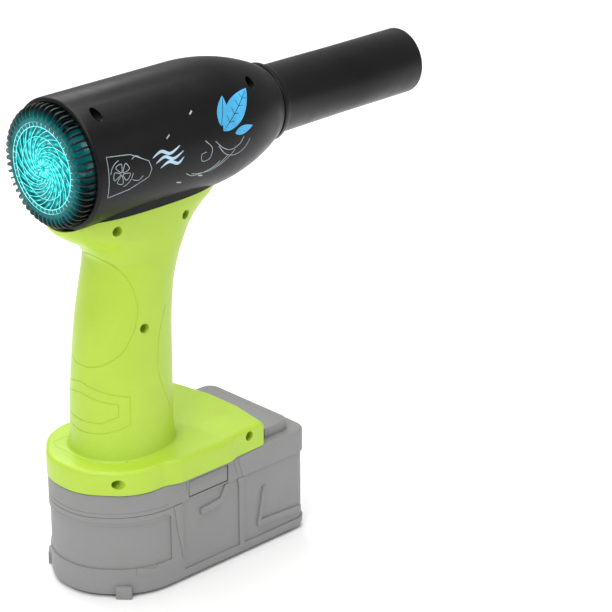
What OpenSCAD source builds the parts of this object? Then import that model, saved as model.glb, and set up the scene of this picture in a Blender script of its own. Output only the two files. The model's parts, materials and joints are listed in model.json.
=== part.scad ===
// Cordless leaf blower: barrel with fan and motor, pistol grip, slide-on battery pack, screw-on nozzle.
// Frame: X towards the nozzle, Y towards the user's left, Z up. The origin is the middle of the pack's underside.

/* [Barrel] */
// Height of the barrel's axis above the ground
barrel_z = 242; // [232:1:262]
// Outer diameter of the barrel
barrel_d = 70; // [69:0.5:76]
// Rear edge of the barrel
barrel_rear_x = -68; // [-80:1:-66]
// Where the cylinder ends and the rounded nose begins
shoulder_x = 18; // [10:1:24]
// Front edge of the nose
nose_x = 71; // [68:1:90]
// Diameter of the nose's front edge
nose_d = 44.4; // [43:0.2:46]
// Wall of the barrel
barrel_wall = 2.3; // [1.8:0.1:2.6]

/* [Nozzle] */
// Outer diameter of the nozzle tube
nozzle_d = 37.2; // [34:0.2:39]
// Length of the straight seat at the nozzle's end that other nozzles push onto
seat_len = 50; // [20:1:60]
// How much the tube widens towards its collar
nozzle_taper = 0.5; // [0.4:0.1:1]
// Wall of the nozzle tube
nozzle_wall = 1.8; // [1.2:0.1:2.6]
// Length of the tube in front of its collar
nozzle_len = 103; // [80:1:180]
// Diameter of the thread's crests
thread_d = 40.4; // [39.6:0.1:40.8]
// Distance between two crests
thread_pitch = 3.2; // [2.6:0.1:3.6]

/* [Fan and motor] */
// Outer diameter of the fan duct
duct_d = 64.4; // [62:0.2:64.8]
// Number of fan blades
blade_count = 9; // [5:1:13]
// Number of guide vanes behind the fan
vane_count = 7; // [5:2:11]
// Diameter of the motor's stator
stator_d = 36; // [32:0.5:38]
// Diameter of the motor shaft
shaft_d = 5; // [3:0.5:6]
// Number of stator teeth
tooth_count = 6; // [3:3:9]

/* [Intake] */
// Number of ribs round the intake grille
rib_count = 52; // [24:2:60]
// How far the grille stands out behind the barrel
grille_depth = 8.5; // [5:0.5:10]
// Diameter of the grille's inner ring
guard_d = 51; // [44:1:54]
// Number of spiral arms in the swirl guard
arm_count = 16; // [8:1:24]

/* [Handle] */
// Width of the grip, side to side
grip_w = 48.4; // [44:0.4:54]
// Wall of the handle's two halves
handle_wall = 2.6; // [2:0.1:3]
// Height of the foot over the pack
foot_h = 13.8; // [13:0.2:18]
// Fillet between the grip and the foot
grip_fillet = 1.8; // [1:0.2:4]
// Half the width of the foot at its widest
foot_half = 41.4; // [40.8:0.2:44]
// Thickness of the black skirt between the barrel and the handle
skirt_h = 4; // [3:0.5:6]

/* [Trigger] */
// Width of the trigger
trigger_w = 16; // [12:0.5:17]
// Height of the trigger
trigger_h = 24; // [18:1:26]
// How far the trigger moves in
trigger_travel = 4; // [2:0.5:4.5]
// Diameter of the switch plunger
plunger_d = 4; // [3:0.2:5]

/* [Battery pack] */
// Length of the pack
pack_len = 145; // [140:1:160]
// Width of the pack
pack_w = 78; // [77:0.5:82]
// Height of the pack's flat top
pack_h = 61.5; // [60:0.5:74]
// Wall of the pack's two shells
pack_wall = 2.2; // [1.8:0.1:2.6]
// Height of the rail block on top of the pack
block_h = 6; // [5.6:0.2:7]
// Half the width of the rail block's flanges
flange_half = 28; // [27:0.2:29]
// Diameter of one battery cell
cell_d = 18.4; // [18:0.1:19]
// Length of one battery cell
cell_len = 65.2; // [60:0.5:66]
// How far a latch button moves in
latch_travel = 3; // [2:0.5:3.4]

/* [Fits] */
// Gap between sliding faces
slide_gap = 0.3; // [0.2:0.05:0.4]
// Gap between fixed pieces
seat_gap = 0.1; // [0.05:0.05:0.15]
// Radial gap of a running fit
run_gap = 0.06; // [0.02:0.01:0.1]

/* [Hidden] */
$fn = 96;
big = 400;
right = -1;
left = 1;

barrel_r = barrel_d / 2;
nose_r = nose_d / 2;
nozzle_r = nozzle_d / 2;
thread_r = thread_d / 2;
duct_r = duct_d / 2;
guard_r = guard_d / 2;
stator_r = stator_d / 2;
shaft_r = shaft_d / 2;

// The nose is an arc that leaves the cylinder at the shoulder and ends at the nose's edge.
nose_run = nose_x - shoulder_x;
nose_drop = barrel_r - nose_r;
nose_arc_r = (nose_run * nose_run + nose_drop * nose_drop) / (2 * nose_drop);
rim_round = 1.8;
function nose_radius(x, inset = 0) =
    sqrt(pow(nose_arc_r - inset, 2) - pow(max(0, x - shoulder_x), 2)) - nose_arc_r + barrel_r;

// Heights
foot_z = pack_h;
foot_top = foot_z + foot_h;
cradle_top = barrel_z - 29.2;

// Screws through the two halves: [x, z, depth of the head's seat from the middle plane]
screw_r = 1.4;
head_r = 2.5;
head_t = 2;
recess_r = 2.75;
boss_r = 4.2;
slim_boss_r = 3;
barrel_screw_at = [[-56.5, barrel_z + 28.6, 11], [46.5, barrel_z + nose_radius(46.5) - 6.2, 11]];
grip_screw_at = [[-47, barrel_z - 36, 12.5], [-0.6, barrel_z - 39, 12.5], [-32, foot_top + 72.7, 12.5]];
foot_screw_at = [[-58.5, foot_z + 6.7, 19], [27.3, foot_z + 9.3, foot_half - 11.4]];

// Fan and motor stations along the axis
duct_x0 = -50;
duct_x1 = shoulder_x + 6;
duct_wall = 1.4;
fan_x0 = -47;
fan_x1 = -29;
hub_r = 15;
tip_r = duct_r - duct_wall - 0.6;
cup_x0 = -26;
cup_x1 = 17;
cup_wall = 1.5;
cup_r = stator_r + seat_gap + cup_wall;
stator_x0 = -17;
stator_x1 = 8;
magnet_r = 8;
air_gap = 0.6;
bearing_r = 6.5;
bearing_w = 5;
bearing_x = [-24.4, cup_x1 - 5.2];
tail_len = 17;
shaft_x0 = fan_x0 - 3;
shaft_x1 = cup_x1 + 1.5;

// Nozzle stations
stub_len = 9.2;
collar_r = nose_r - 0.3;
collar_len = 3.2;
cone_len = 3.6;
root_r = thread_r - 0.9;
seal_t = 1.2;
nozzle_x0 = nose_x + slide_gap + seal_t + slide_gap;

// Trigger and switch
trigger_z = barrel_z - 67;
trigger_depth = 6;
trigger_proud = 0.8;
switch_x0 = -31;
switch_x1 = -10;
switch_half = 8.5;
switch_zh = 13;

// Pack stations
pack_half = pack_w / 2;
pack_front = pack_len / 2;
seam_z = pack_h - 13.5;
block_x0 = -38;
block_x1 = 64;
pad_x0 = 44.4;
neck_half = flange_half - 4;
neck_h = 2;
pad_half = 33;
block_top = pack_h + block_h;
button_x = [-17, 11];
button_z = [pack_h - 12, pack_h - 2.6];
hook_x = [-10, 0];
button_t = 2.4;
post_y = [18.5, 21.5];
cell_pitch = cell_d + 0.4;
cells_in_row = 5;
row_x = 5.5;
cell_z0 = pack_wall + 1.2;
holder_t = 12;
blade_y = [-16, -6, 6, 16];

// --- Helpers ---

// Arc that rounds the corner b of a path a, b, c.
function unit(v) = v / norm(v);
function corner(a, b, c, r, steps = 6) =
    r <= 0 ? [b] :
    let (u = unit(a - b), w = unit(c - b), half = acos(u * w) / 2,
        centre = b + unit(u + w) * r / sin(half),
        start = b + u * r / tan(half) - centre, end = b + w * r / tan(half) - centre,
        a0 = atan2(start[1], start[0]), turn = atan2(end[1], end[0]) - a0,
        sweep = turn > 180 ? turn - 360 : turn < -180 ? turn + 360 : turn)
    [for (i = [0:steps]) centre + r * [cos(a0 + sweep * i / steps), sin(a0 + sweep * i / steps)]];

// Closed outline of [x, y, corner radius] points.
function outline(path) = [for (i = [0:len(path) - 1])
    let (n = len(path), a = path[(i + n - 1) % n], b = path[i], c = path[(i + 1) % n])
    each corner([a[0], a[1]], [b[0], b[1]], [c[0], c[1]], b[2])];

// A half outline (y below 0) and its mirror image as one closed path.
function both_sides(path) = concat(path, [for (i = [len(path) - 1:-1:0]) [path[i][0], -path[i][1], path[i][2]]]);

// Smooth curve through the rows of a table, sampled by a running number t.
function blend(a, b, c, d, u) =
    0.5 * ((2 * b) + (c - a) * u + (2 * a - 5 * b + 4 * c - d) * u * u + (3 * b - a - 3 * c + d) * u * u * u);
function smooth_row(table, t) =
    let (last = len(table) - 1, i = min(floor(t), last - 1))
    blend(table[max(i - 1, 0)], table[i], table[i + 1], table[min(i + 2, last)], t - i);

// Solid through rings of points that all have the same count.
module skin(rings) {
    n = len(rings[0]);
    m = len(rings);
    points = [for (ring = rings) each ring];
    sides = [for (k = [0:m - 2], i = [0:n - 1])
        let (j = (i + 1) % n, a = k * n + i, b = k * n + j) each [[a, a + n, b + n], [a, b + n, b]]];
    floor_cap = [[for (i = [0:n - 1]) i]];
    top_cap = [[for (i = [n - 1:-1:0]) (m - 1) * n + i]];
    polyhedron(points, concat(floor_cap, sides, top_cap), convexity = 8);
}

module along_x(x = 0) {
    translate([x, 0, barrel_z]) rotate([0, 90, 0]) children();
}

// Solid of revolution about the barrel's axis, from [x, radius] points.
module turned(profile) {
    translate([0, 0, barrel_z]) rotate([0, 90, 0]) rotate_extrude() polygon([for (p = profile) [p[1], p[0]]]);
}

module tube_x(x0, x1, r_out, r_in) {
    difference() {
        along_x(x0) cylinder(r = r_out, h = x1 - x0);
        along_x(x0 - 1) cylinder(r = r_in, h = x1 - x0 + 2);
    }
}

module box(low, high) {
    translate(low) cube(high - low);
}

module half_space(side) {
    translate([-big / 2, side < 0 ? -big / 2 : 0, -big / 4]) cube([big, big / 2, big * 1.5]);
}

// Cylinder along Y between two heights of y.
module rod_y(x, z, y0, y1, r) {
    translate([x, max(y0, y1), z]) rotate([90, 0, 0]) cylinder(r = r, h = abs(y1 - y0), $fn = 48);
}

module screw(p, tip) {
    rod_y(p[0], p[1], -p[2], -p[2] - head_t, head_r);
    rod_y(p[0], p[1], -p[2] - 0.01, tip, screw_r - 0.05);
}

// Recess and clearance hole in the right half, pilot hole in the left one.
module screw_bore(p, side) {
    if (side == right) {
        rod_y(p[0], p[1], -50, -p[2], recess_r);
        rod_y(p[0], p[1], -50, 1, screw_r + seat_gap);
    }
    if (side == left)
        rod_y(p[0], p[1], -1, 14, screw_r);
}

// Wire of round section along a list of points.
function wire_ring(p, dir, r, sides) =
    let (d = unit(dir), e1 = unit(cross([0, 1, 0], d)), e2 = cross(d, e1))
    [for (i = [0:sides - 1]) p + r * (cos(360 * i / sides) * e1 - sin(360 * i / sides) * e2)];
module wire(path, r, sides = 8) {
    n = len(path) - 1;
    skin([for (i = [0:n]) wire_ring(path[i], path[min(i + 1, n)] - path[max(i - 1, 0)], r, sides)]);
}

// Coil spring along +Z from its own origin.
module coil(length, r, wire_r, turns, steps = 14) {
    count = turns * steps;
    rings = [for (i = [0:count]) let (a = 360 * i / steps, z = wire_r + (length - 2 * wire_r) * i / count)
        let (out = [cos(a), sin(a), 0])
        [for (k = [0:5]) out * (r + wire_r * cos(60 * k)) + [0, 0, z + wire_r * sin(60 * k)]]];
    skin(rings);
}

// --- Barrel ---

barrel_seat_r = 22.2;
mouth_r = thread_r + slide_gap;
socket_x0 = nose_x - 15;
socket_x1 = nose_x - 5;
socket_flange = 2;
inner_r = barrel_r - barrel_wall;
nose_points = [for (i = [0:14]) shoulder_x + nose_run * i / 14];
rim_points = [for (i = [0:4]) 22.5 * i];

module barrel_solid() {
    rim = [for (a = rim_points)
        [barrel_rear_x + rim_round * (1 - cos(a)), barrel_r - rim_round * (1 - sin(a))]];
    nose = [for (x = nose_points) [x, nose_radius(x)]];
    turned(concat([[barrel_rear_x, 0]], rim, nose, [[nose_x, 0]]));
}

module barrel_cavity() {
    nose = [for (x = nose_points) if (x < socket_x0) [x, nose_radius(x, barrel_wall)]];
    at_socket = nose_radius(socket_x0, barrel_wall);
    step = socket_x0 + socket_flange + seat_gap;
    turned(concat([[barrel_rear_x - 1, 0], [barrel_rear_x - 1, inner_r]], nose,
        [[socket_x0, at_socket], [step, nose_radius(step, barrel_wall)], [step, barrel_seat_r],
        [socket_x1, barrel_seat_r], [socket_x1, mouth_r], [nose_x + 1, mouth_r], [nose_x + 1, 0]]));
}

// The room the handle keeps free for the barrel, open to the rear.
module barrel_room() {
    grown = barrel_r + seat_gap;
    nose = [for (x = nose_points) [x, nose_radius(x) + seat_gap]];
    turned(concat([[barrel_rear_x - 20, 0], [barrel_rear_x - 20, grown]], nose, [[nose_x + 1, 0]]));
}

module skirt() {
    rear_cut = barrel_rear_x + rim_round;
    difference() {
        translate([0, 0, cradle_top + seat_gap]) linear_extrude(skirt_h) polygon(grip_outline(last_row, 0.3));
        box([rear_cut - 30, -big, 0], [rear_cut, big, big]);
    }
}

module barrel_half(side) {
    difference() {
        intersection() {
            union() {
                barrel_solid();
                skirt();
            }
            half_space(side);
        }
        difference() {
            barrel_cavity();
            for (p = barrel_screw_at)
                rod_y(p[0], p[1], -big / 4, big / 4, boss_r);
        }
        for (p = barrel_screw_at)
            screw_bore(p, side);
        rod_y(grip_screw_at[0][0], grip_screw_at[0][1], -9, 9, slim_boss_r + seat_gap);
        box([lead_slot[0], -lead_slot_half, cradle_top - 30], [lead_slot[1], lead_slot_half, barrel_z - inner_r + 2]);
    }
}

module barrel_right() {
    color("#1c1c1e") barrel_half(right);
}

module barrel_left() {
    color("#1c1c1e") barrel_half(left);
}

module barrel_screws() {
    color("#8a8d90")
    for (p = barrel_screw_at)
        screw(p, 12);
}

// --- Intake ---

grille_r = inner_r - seat_gap;
ring_x0 = barrel_rear_x - grille_depth;
rib_t = 1;
band_x1 = barrel_rear_x + 4.5;

// One rib: a thin plate that runs along the side and rounds over into the rear face.
module grille_rib() {
    round_r = 5;
    path = [[ring_x0, guard_r - 1, 0], [ring_x0, grille_r, round_r], [band_x1 - 1, grille_r, 0],
        [band_x1 - 1, grille_r - 2.4, 0], [ring_x0 + 2.4, grille_r - 2.4, 2.6], [ring_x0 + 2.4, guard_r - 1, 0]];
    rotate([90, 0, 0]) linear_extrude(rib_t, center = true) polygon(outline(path));
}

module intake_grille() {
    color("#161618") {
        tube_x(barrel_rear_x + 1, band_x1, grille_r, grille_r - 2.6);
        tube_x(ring_x0, ring_x0 + 2.6, guard_r + 0.8, guard_r - 1.4);
        translate([0, 0, barrel_z])
        for (i = [0:rib_count - 1])
            rotate([360 * (i + 0.5) / rib_count, 0, 0]) grille_rib();
    }
}

// One spiral arm of the swirl guard, from the hub out to the rim.
function arm_point(radius, offset) =
    let (a = 78 * ln(radius / guard_hub_r) + offset) [radius * cos(a), radius * sin(a)];
guard_hub_r = 5;
guard_rim_in = guard_r - 3.6;
guard_rim_out = guard_r - 1.4 - seat_gap;
guard_t = 1.6;
module swirl_arm() {
    steps = 10;
    radii = [for (i = [0:steps]) guard_hub_r - 0.4 + (guard_rim_in - guard_hub_r + 0.8) * i / steps];
    inner = [for (r = radii) arm_point(r, -50 / (r + 3))];
    outer = [for (i = [steps:-1:0]) arm_point(radii[i], 50 / (radii[i] + 3))];
    linear_extrude(guard_t) polygon(concat(inner, outer));
}

module swirl_guard() {
    color("#22dfe2") {
        tube_x(ring_x0 + 0.6, ring_x0 + 0.6 + guard_t, guard_rim_out, guard_rim_in);
        along_x(ring_x0 + 0.6) {
            cylinder(r = guard_hub_r, h = guard_t);
            for (i = [0:arm_count - 1])
                rotate(360 * i / arm_count) swirl_arm();
        }
    }
}

// --- Fan and motor ---

vane_t = 1.6;
module fan_duct() {
    color("#3b3d40")
    difference() {
        union() {
            tube_x(duct_x0, duct_x1, duct_r, duct_r - duct_wall);
            tube_x(cup_x0, cup_x1, cup_r, stator_r + seat_gap);
            tube_x(cup_x0, cup_x0 + 1.6, cup_r, bearing_r + seat_gap);
            tube_x(cup_x0, bearing_x[0] + bearing_w, bearing_r + 2, bearing_r + seat_gap);
            translate([0, 0, barrel_z])
            for (i = [0:vane_count - 1])
                rotate([360 * i / vane_count, 0, 0])
                    box([cup_x0 + 2, -vane_t / 2, cup_r - 0.4], [cup_x1 - 1, vane_t / 2, duct_r - 0.4]);
        }
        box([lead_slot[0], -lead_slot_half, barrel_z - duct_r - 1], [lead_slot[1], lead_slot_half, barrel_z - duct_r + 4]);
        box([lead_slot[0], -lead_slot_half, barrel_z - cup_r - 1], [lead_slot[1], lead_slot_half, barrel_z - stator_r + 2]);
    }
}

module impeller() {
    blade_pitch = 42;
    blade_t = 1.4;
    mid = (fan_x0 + fan_x1) / 2;
    color("#2fb9c4")
    difference() {
        union() {
            along_x(fan_x0) cylinder(r = hub_r, h = fan_x1 - fan_x0);
            intersection() {
                translate([mid, 0, barrel_z])
                for (i = [0:blade_count - 1])
                    rotate([360 * i / blade_count, 0, 0]) rotate([0, 0, blade_pitch])
                        box([-11, -blade_t / 2, hub_r - 3], [11, blade_t / 2, tip_r + 4]);
                along_x(fan_x0 + 0.5) cylinder(r = tip_r, h = fan_x1 - fan_x0 - 1);
            }
        }
        along_x(fan_x0 - 1) cylinder(r = shaft_r, h = 40);
        along_x(fan_x0 + 6) cylinder(r = hub_r - 2, h = 40);
    }
}

module spinner() {
    dome_len = 12;
    dome = [for (i = [0:8]) [fan_x0 - dome_len * cos(90 * i / 8), hub_r * sin(90 * i / 8)]];
    color("#26a9b4")
    difference() {
        turned(concat(dome, [[fan_x0, shaft_r + 0.5], [shaft_x0 - 0.3, shaft_r + 0.5], [shaft_x0 - 0.3, 0]]));
    }
}

module motor_shaft() {
    color("#c9ccd0") along_x(shaft_x0) cylinder(r = shaft_r, h = shaft_x1 - shaft_x0);
}

module motor_magnet() {
    color("#5a5d61") tube_x(stator_x0 + 1, stator_x1 - 1, magnet_r, shaft_r);
}

module motor_stator() {
    tooth_w = 4;
    yoke = 2.6;
    bore_r = magnet_r + air_gap;
    color("#7d8187")
    difference() {
        union() {
            tube_x(stator_x0, stator_x1, stator_r, stator_r - yoke);
            translate([0, 0, barrel_z])
            for (i = [0:tooth_count - 1])
                rotate([360 * (i + 0.5) / tooth_count, 0, 0])
                    box([stator_x0, -tooth_w / 2, bore_r - 1], [stator_x1, tooth_w / 2, stator_r - yoke + 0.5]);
        }
        along_x(stator_x0 - 1) cylinder(r = bore_r, h = stator_x1 - stator_x0 + 2);
    }
}

// One coil round each tooth, as a closed frame.
module motor_coils() {
    color("#c27a3c")
    translate([0, 0, barrel_z])
    for (i = [0:tooth_count - 1])
        rotate([360 * (i + 0.5) / tooth_count, 0, 0])
        difference() {
            box([stator_x0 - 2.2, -3.6, magnet_r + 3], [stator_x1 + 2.2, 3.6, stator_r - 4.4]);
            box([stator_x0 - 0.1, -2.1, magnet_r], [stator_x1 + 0.1, 2.1, stator_r]);
        }
}

module motor_bearings() {
    color("#b5b8bd")
    for (x = bearing_x)
        tube_x(x, x + bearing_w, bearing_r, shaft_r + run_gap);
}

module motor_cap() {
    cone_r = cup_r - 0.2;
    cone = [for (i = [0:8]) [cup_x1 + 1.6 + tail_len * i / 8, cone_r * cos(90 * i / 8 * 0.94)]];
    color("#3b3d40")
    difference() {
        union() {
            turned(concat([[cup_x1 + seat_gap, 0], [cup_x1 + seat_gap, cone_r]], cone, [[cup_x1 + 1.6 + tail_len, 0]]));
            tube_x(cup_x1 - 6.5, cup_x1 + 1, bearing_r + 2, bearing_r + seat_gap);
        }
        along_x(cup_x1 - 7) cylinder(r = bearing_r + seat_gap, h = 7.2);
        along_x(cup_x1) cylinder(r = shaft_r + 1, h = 3);
    }
}

// --- Nozzle ---

crests = [for (x = [socket_x0 + 7:thread_pitch:nose_x - 1.6]) x];
module nozzle_socket() {
    flange_r = nose_radius(socket_x0 + socket_flange, barrel_wall) - 0.4;
    color("#242427")
    difference() {
        union() {
            along_x(socket_x0) cylinder(r = barrel_seat_r - seat_gap, h = socket_x1 - socket_x0 - seat_gap);
            along_x(socket_x0) cylinder(r = flange_r, h = socket_flange);
        }
        along_x(socket_x0 - 1) cylinder(r = mouth_r, h = 20);
    }
}

module nozzle_tube() {
    x1 = nozzle_x0 + collar_len + cone_len + nozzle_len;
    bore = nozzle_r - nozzle_wall;
    stub_x0 = nozzle_x0 - seal_t - 2 * slide_gap - stub_len;
    ridge = [for (x = crests) each [[x - 0.9, root_r], [x - 0.35, thread_r], [x + 0.35, thread_r], [x + 0.9, root_r]]];
    color("#1a1a1c")
    difference() {
        turned(concat([[stub_x0, 0], [stub_x0, root_r]], ridge,
            [[nozzle_x0 - slide_gap, root_r], [nozzle_x0 - slide_gap, root_r - 0.2], [nozzle_x0, root_r - 0.2],
            [nozzle_x0, collar_r], [nozzle_x0 + collar_len, collar_r - 0.3],
            [nozzle_x0 + collar_len + cone_len, nozzle_r + nozzle_taper], [x1 - seat_len, nozzle_r],
            [x1, nozzle_r], [x1, 0]]));
        along_x(stub_x0 - 1) cylinder(r = bore, h = x1 - stub_x0 + 2);
    }
}

module nozzle_seal() {
    color("#2d2d30") tube_x(nose_x + slide_gap, nose_x + slide_gap + seal_t, collar_r - 0.4, root_r + slide_gap);
}

// --- Handle ---

// Side view of the handle, from the foot up to the cradle:
// [share of the height, rear x, front x, share of the grip's half width, squareness]
grip_rows = [
    [0, -60.6, -0.4, 1.11, 2.2],
    [0.065, -59, -1.6, 1.06, 2.15],
    [0.267, -58.2, -0.6, 1.01, 2.1],
    [0.52, -54, -0.3, 0.99, 2.1],
    [0.673, -49.6, 1.9, 0.975, 2.1],
    [0.768, -46.8, 5.9, 0.97, 2.15],
    [0.811, -47.2, 8.7, 0.97, 2.2],
    [0.862, -53.2, 13, 0.975, 2.3],
    [0.898, -61.8, 17.4, 0.985, 2.4],
    [0.935, -68.2, 23.5, 0.99, 2.5],
    [0.971, -70.8, 30.5, 1, 2.6],
    [1, -71.4, 34, 1, 2.7]];
last_row = len(grip_rows) - 1;
grip_sides = 40;
function spread(v, power) = sign(v) * pow(abs(v), 2 / power);
function grip_row(t) = smooth_row(grip_rows, t);
function grip_outline(t, inset) =
    let (row = grip_row(t), mid = (row[1] + row[2]) / 2, a = (row[2] - row[1]) / 2 - inset, b = grip_w / 2 * row[3] - inset)
    [for (i = [0:grip_sides - 1]) let (s = 360 * i / grip_sides)
        [mid + a * spread(cos(s), row[4]), b * spread(sin(s), row[4])]];
function grip_height(t) = foot_top - 2 + (cradle_top - foot_top + 2) * grip_row(t)[0];
function lift(points, z) = [for (p = points) [p[0], p[1], z]];
function grip_front(z) = lookup(z, [for (t = [0:0.5:last_row]) [grip_height(t), grip_row(t)[2]]]);

module grip_solid(inset = 0) {
    flare = inset > 0 ? [] : [for (a = [0, 30, 60])
        lift(grip_outline(0.5, -grip_fillet * (1 - sin(a))), foot_top + grip_fillet * (1 - cos(a)) - 0.02)];
    base = inset > 0 ? 0 : 1;
    rings = concat(flare, [for (t = [base:0.5:last_row]) lift(grip_outline(t, inset), grip_height(t))]);
    more = inset > 0 ? [lift(grip_outline(0, inset), foot_top - 6)] : [];
    over = inset > 0 ? [lift(grip_outline(last_row, inset), cradle_top + 2)] : [];
    skin(concat(more, rings, over));
}

foot_rear = -73;
foot_front = 44;
foot_top_wall = 2.4;
foot_round = 2.6;
foot_side = foot_half - 3.2;
function foot_path(i) = both_sides([
    [foot_rear + i, -13 + i / 2, 30], [-52 + i / 2, -foot_side + i, 30], [-34, -foot_side + i, 8],
    [-24, -foot_half + i, 8], [12, -foot_half + i, 4], [17.5, -foot_side - 1.2 + i, 4],
    [foot_front - 4.5 - i, -foot_side - 0.2 + i, 2.6], [foot_front - i, -12 + i / 2, 16]]);
web_half = flange_half + slide_gap;
web_t = 2.2;
lip_top = neck_h + foot_z - slide_gap;
rail_x0 = block_x0 - 0.5;
block_room_top = block_top + slide_gap;

module foot_solid() {
    steps = [[0, 0], [0, foot_h - foot_round], for (a = [30, 60, 90]) [foot_round * (1 - cos(a)), foot_h - foot_round * (1 - sin(a))]];
    skin([for (s = steps) lift(outline(foot_path(s[0])), foot_z + s[1])]);
}

module foot_inside() {
    difference() {
        translate([0, 0, foot_z - 1]) linear_extrude(foot_h + 1 - foot_top_wall) polygon(outline(foot_path(handle_wall)));
        for (side = [right, left]) {
            y0 = side * web_half;
            box([rail_x0, min(y0, y0 + side * web_t), foot_z - 2], [foot_front, max(y0, y0 + side * web_t), foot_top]);
            lip_y = side * (neck_half + slide_gap);
            box([rail_x0, min(y0, lip_y), foot_z - 2], [foot_front, max(y0, lip_y), lip_top]);
        }
    }
}

// The way the rail block takes out of the foot, to the front.
module block_way() {
    box([0, -web_half, lip_top], [foot_front + 5, web_half, block_room_top]);
    box([0, -neck_half - slide_gap, foot_z - 1], [foot_front + 5, neck_half + slide_gap, block_room_top]);
}

module latch_pockets() {
    for (side = [right, left]) {
        y0 = side * (web_half - 1);
        y1 = side * (web_half + web_t + 1);
        box([hook_x[0] - 1, min(y0, y1), lip_top + 0.6], [hook_x[1] + 1, max(y0, y1), block_room_top - 0.4]);
    }
}

module screw_boss(p, reach) {
    rod_y(p[0], p[1], -reach, -p[2] + 1.5, boss_r);
    rod_y(p[0], p[1], -p[2] + 1.4, reach, slim_boss_r);
}

module trigger_hole() {
    trigger_block(slide_gap, 20);
}

lead_slot = [4, 12];
lead_slot_half = 5;

module handle_half(side) {
    difference() {
        intersection() {
            union() {
                difference() {
                    union() {
                        grip_solid();
                        foot_solid();
                    }
                    grip_solid(handle_wall);
                    foot_inside();
                    block_way();
                    latch_pockets();
                }
                intersection() {
                    union() {
                        for (p = grip_screw_at)
                            screw_boss(p, 30);
                        for (p = foot_screw_at)
                            screw_boss(p, 50);
                    }
                    union() {
                        grip_solid();
                        foot_solid();
                    }
                }
            }
            half_space(side);
        }
        barrel_room();
        trigger_hole();
        for (p = concat(grip_screw_at, foot_screw_at))
            screw_bore(p, side);
    }
}

module handle_right() {
    color("#b9d83f") handle_half(right);
}

module handle_left() {
    color("#b9d83f") handle_half(left);
}

module handle_screws() {
    color("#8a8d90")
    for (p = concat(grip_screw_at, foot_screw_at))
        screw(p, 12);
}

// --- Trigger and switch ---

// Block behind the grip's front, following its line; grow opens it up for the handle's hole.
module trigger_block(grow = 0, reach = 0) {
    z0 = trigger_z - trigger_h / 2 - grow;
    z1 = trigger_z + trigger_h / 2 + grow;
    levels = [for (i = [0:4]) z0 + (z1 - z0) * i / 4];
    front = [for (z = levels) [grip_front(z) + trigger_proud + reach, z]];
    back = [for (i = [4:-1:0]) [grip_front(levels[i]) - trigger_depth - trigger_travel * (grow > 0 ? 1 : 0) - grow, levels[i]]];
    half = trigger_w / 2 + grow;
    translate([0, half, 0]) rotate([90, 0, 0]) linear_extrude(2 * half) polygon(concat(front, back));
}

plunger_r = plunger_d / 2;
module trigger() {
    color("#232325") {
        trigger_block();
        translate([switch_x1 - 8, 0, trigger_z]) rotate([0, 90, 0])
            cylinder(r = plunger_r, h = grip_front(trigger_z) - trigger_depth + 2 - switch_x1 + 8, $fn = 48);
    }
}

module trigger_spring() {
    gap = 0.2;
    room = grip_front(trigger_z - trigger_h / 2) - trigger_depth - switch_x1 - 2 * gap;
    color("#c9ccd0")
    translate([switch_x1 + gap, 0, trigger_z]) rotate([0, 90, 0]) coil(room, plunger_r + 0.9, 0.3, 3);
}

module switch_body() {
    color("#2a2b2e")
    difference() {
        box([switch_x0, -switch_half, trigger_z - switch_zh], [switch_x1, switch_half, trigger_z + switch_zh]);
        translate([switch_x1 - 16, 0, trigger_z]) rotate([0, 90, 0]) cylinder(r = plunger_r + run_gap, h = 20, $fn = 48);
        rod_y(grip_screw_at[2][0], grip_screw_at[2][1], -20, 20, slim_boss_r + 1);
    }
}

// --- Electronics ---

board_x = [-42, -18];
board_z = [foot_top + 10, foot_top + 56];
board_t = 1.6;
module controller_board() {
    color("#2f6b46") box([board_x[0], -board_t / 2, board_z[0]], [board_x[1], board_t / 2, board_z[1]]);
}

module controller_parts() {
    face = board_t / 2;
    color("#3a3c40") {
        for (i = [0:2])
            box([board_x[0] + 2 + 7.5 * i, face, board_z[0] + 4], [board_x[0] + 7.5 + 7.5 * i, face + 2.2, board_z[0] + 12]);
        box([board_x[0] + 6, face, board_z[0] + 20], [board_x[0] + 16, face + 1.6, board_z[0] + 30]);
        translate([board_x[0] + 12, -face, board_z[0] + 22]) rotate([90, 0, 0]) cylinder(r = 6, h = 11);
        box([board_x[0] + 4, -face - 3, board_z[1] - 12], [board_x[1] - 4, -face, board_z[1] - 5]);
    }
}

term_x = [-53, block_x0 - 0.4];
term_half = 21;
term_z = [foot_z + 0.8, foot_z + 9];
blade_t = 0.8;
blade_z = [foot_z + 1.4, foot_z + 4.8];
blade_x = [term_x[0] + 2, block_x0 + 11];
module terminal_block() {
    color("#26272a")
    difference() {
        box([term_x[0], -term_half, term_z[0]], [term_x[1], term_half, term_z[1]]);
        for (y = blade_y)
            box([blade_x[0], y - blade_t / 2, blade_z[0]], [blade_x[1], y + blade_t / 2, blade_z[1]]);
    }
}

module terminal_blades() {
    color("#c9a14a")
    for (y = blade_y)
        box([blade_x[0], y - blade_t / 2, blade_z[0]], [blade_x[1], y + blade_t / 2, blade_z[1]]);
}

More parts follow.
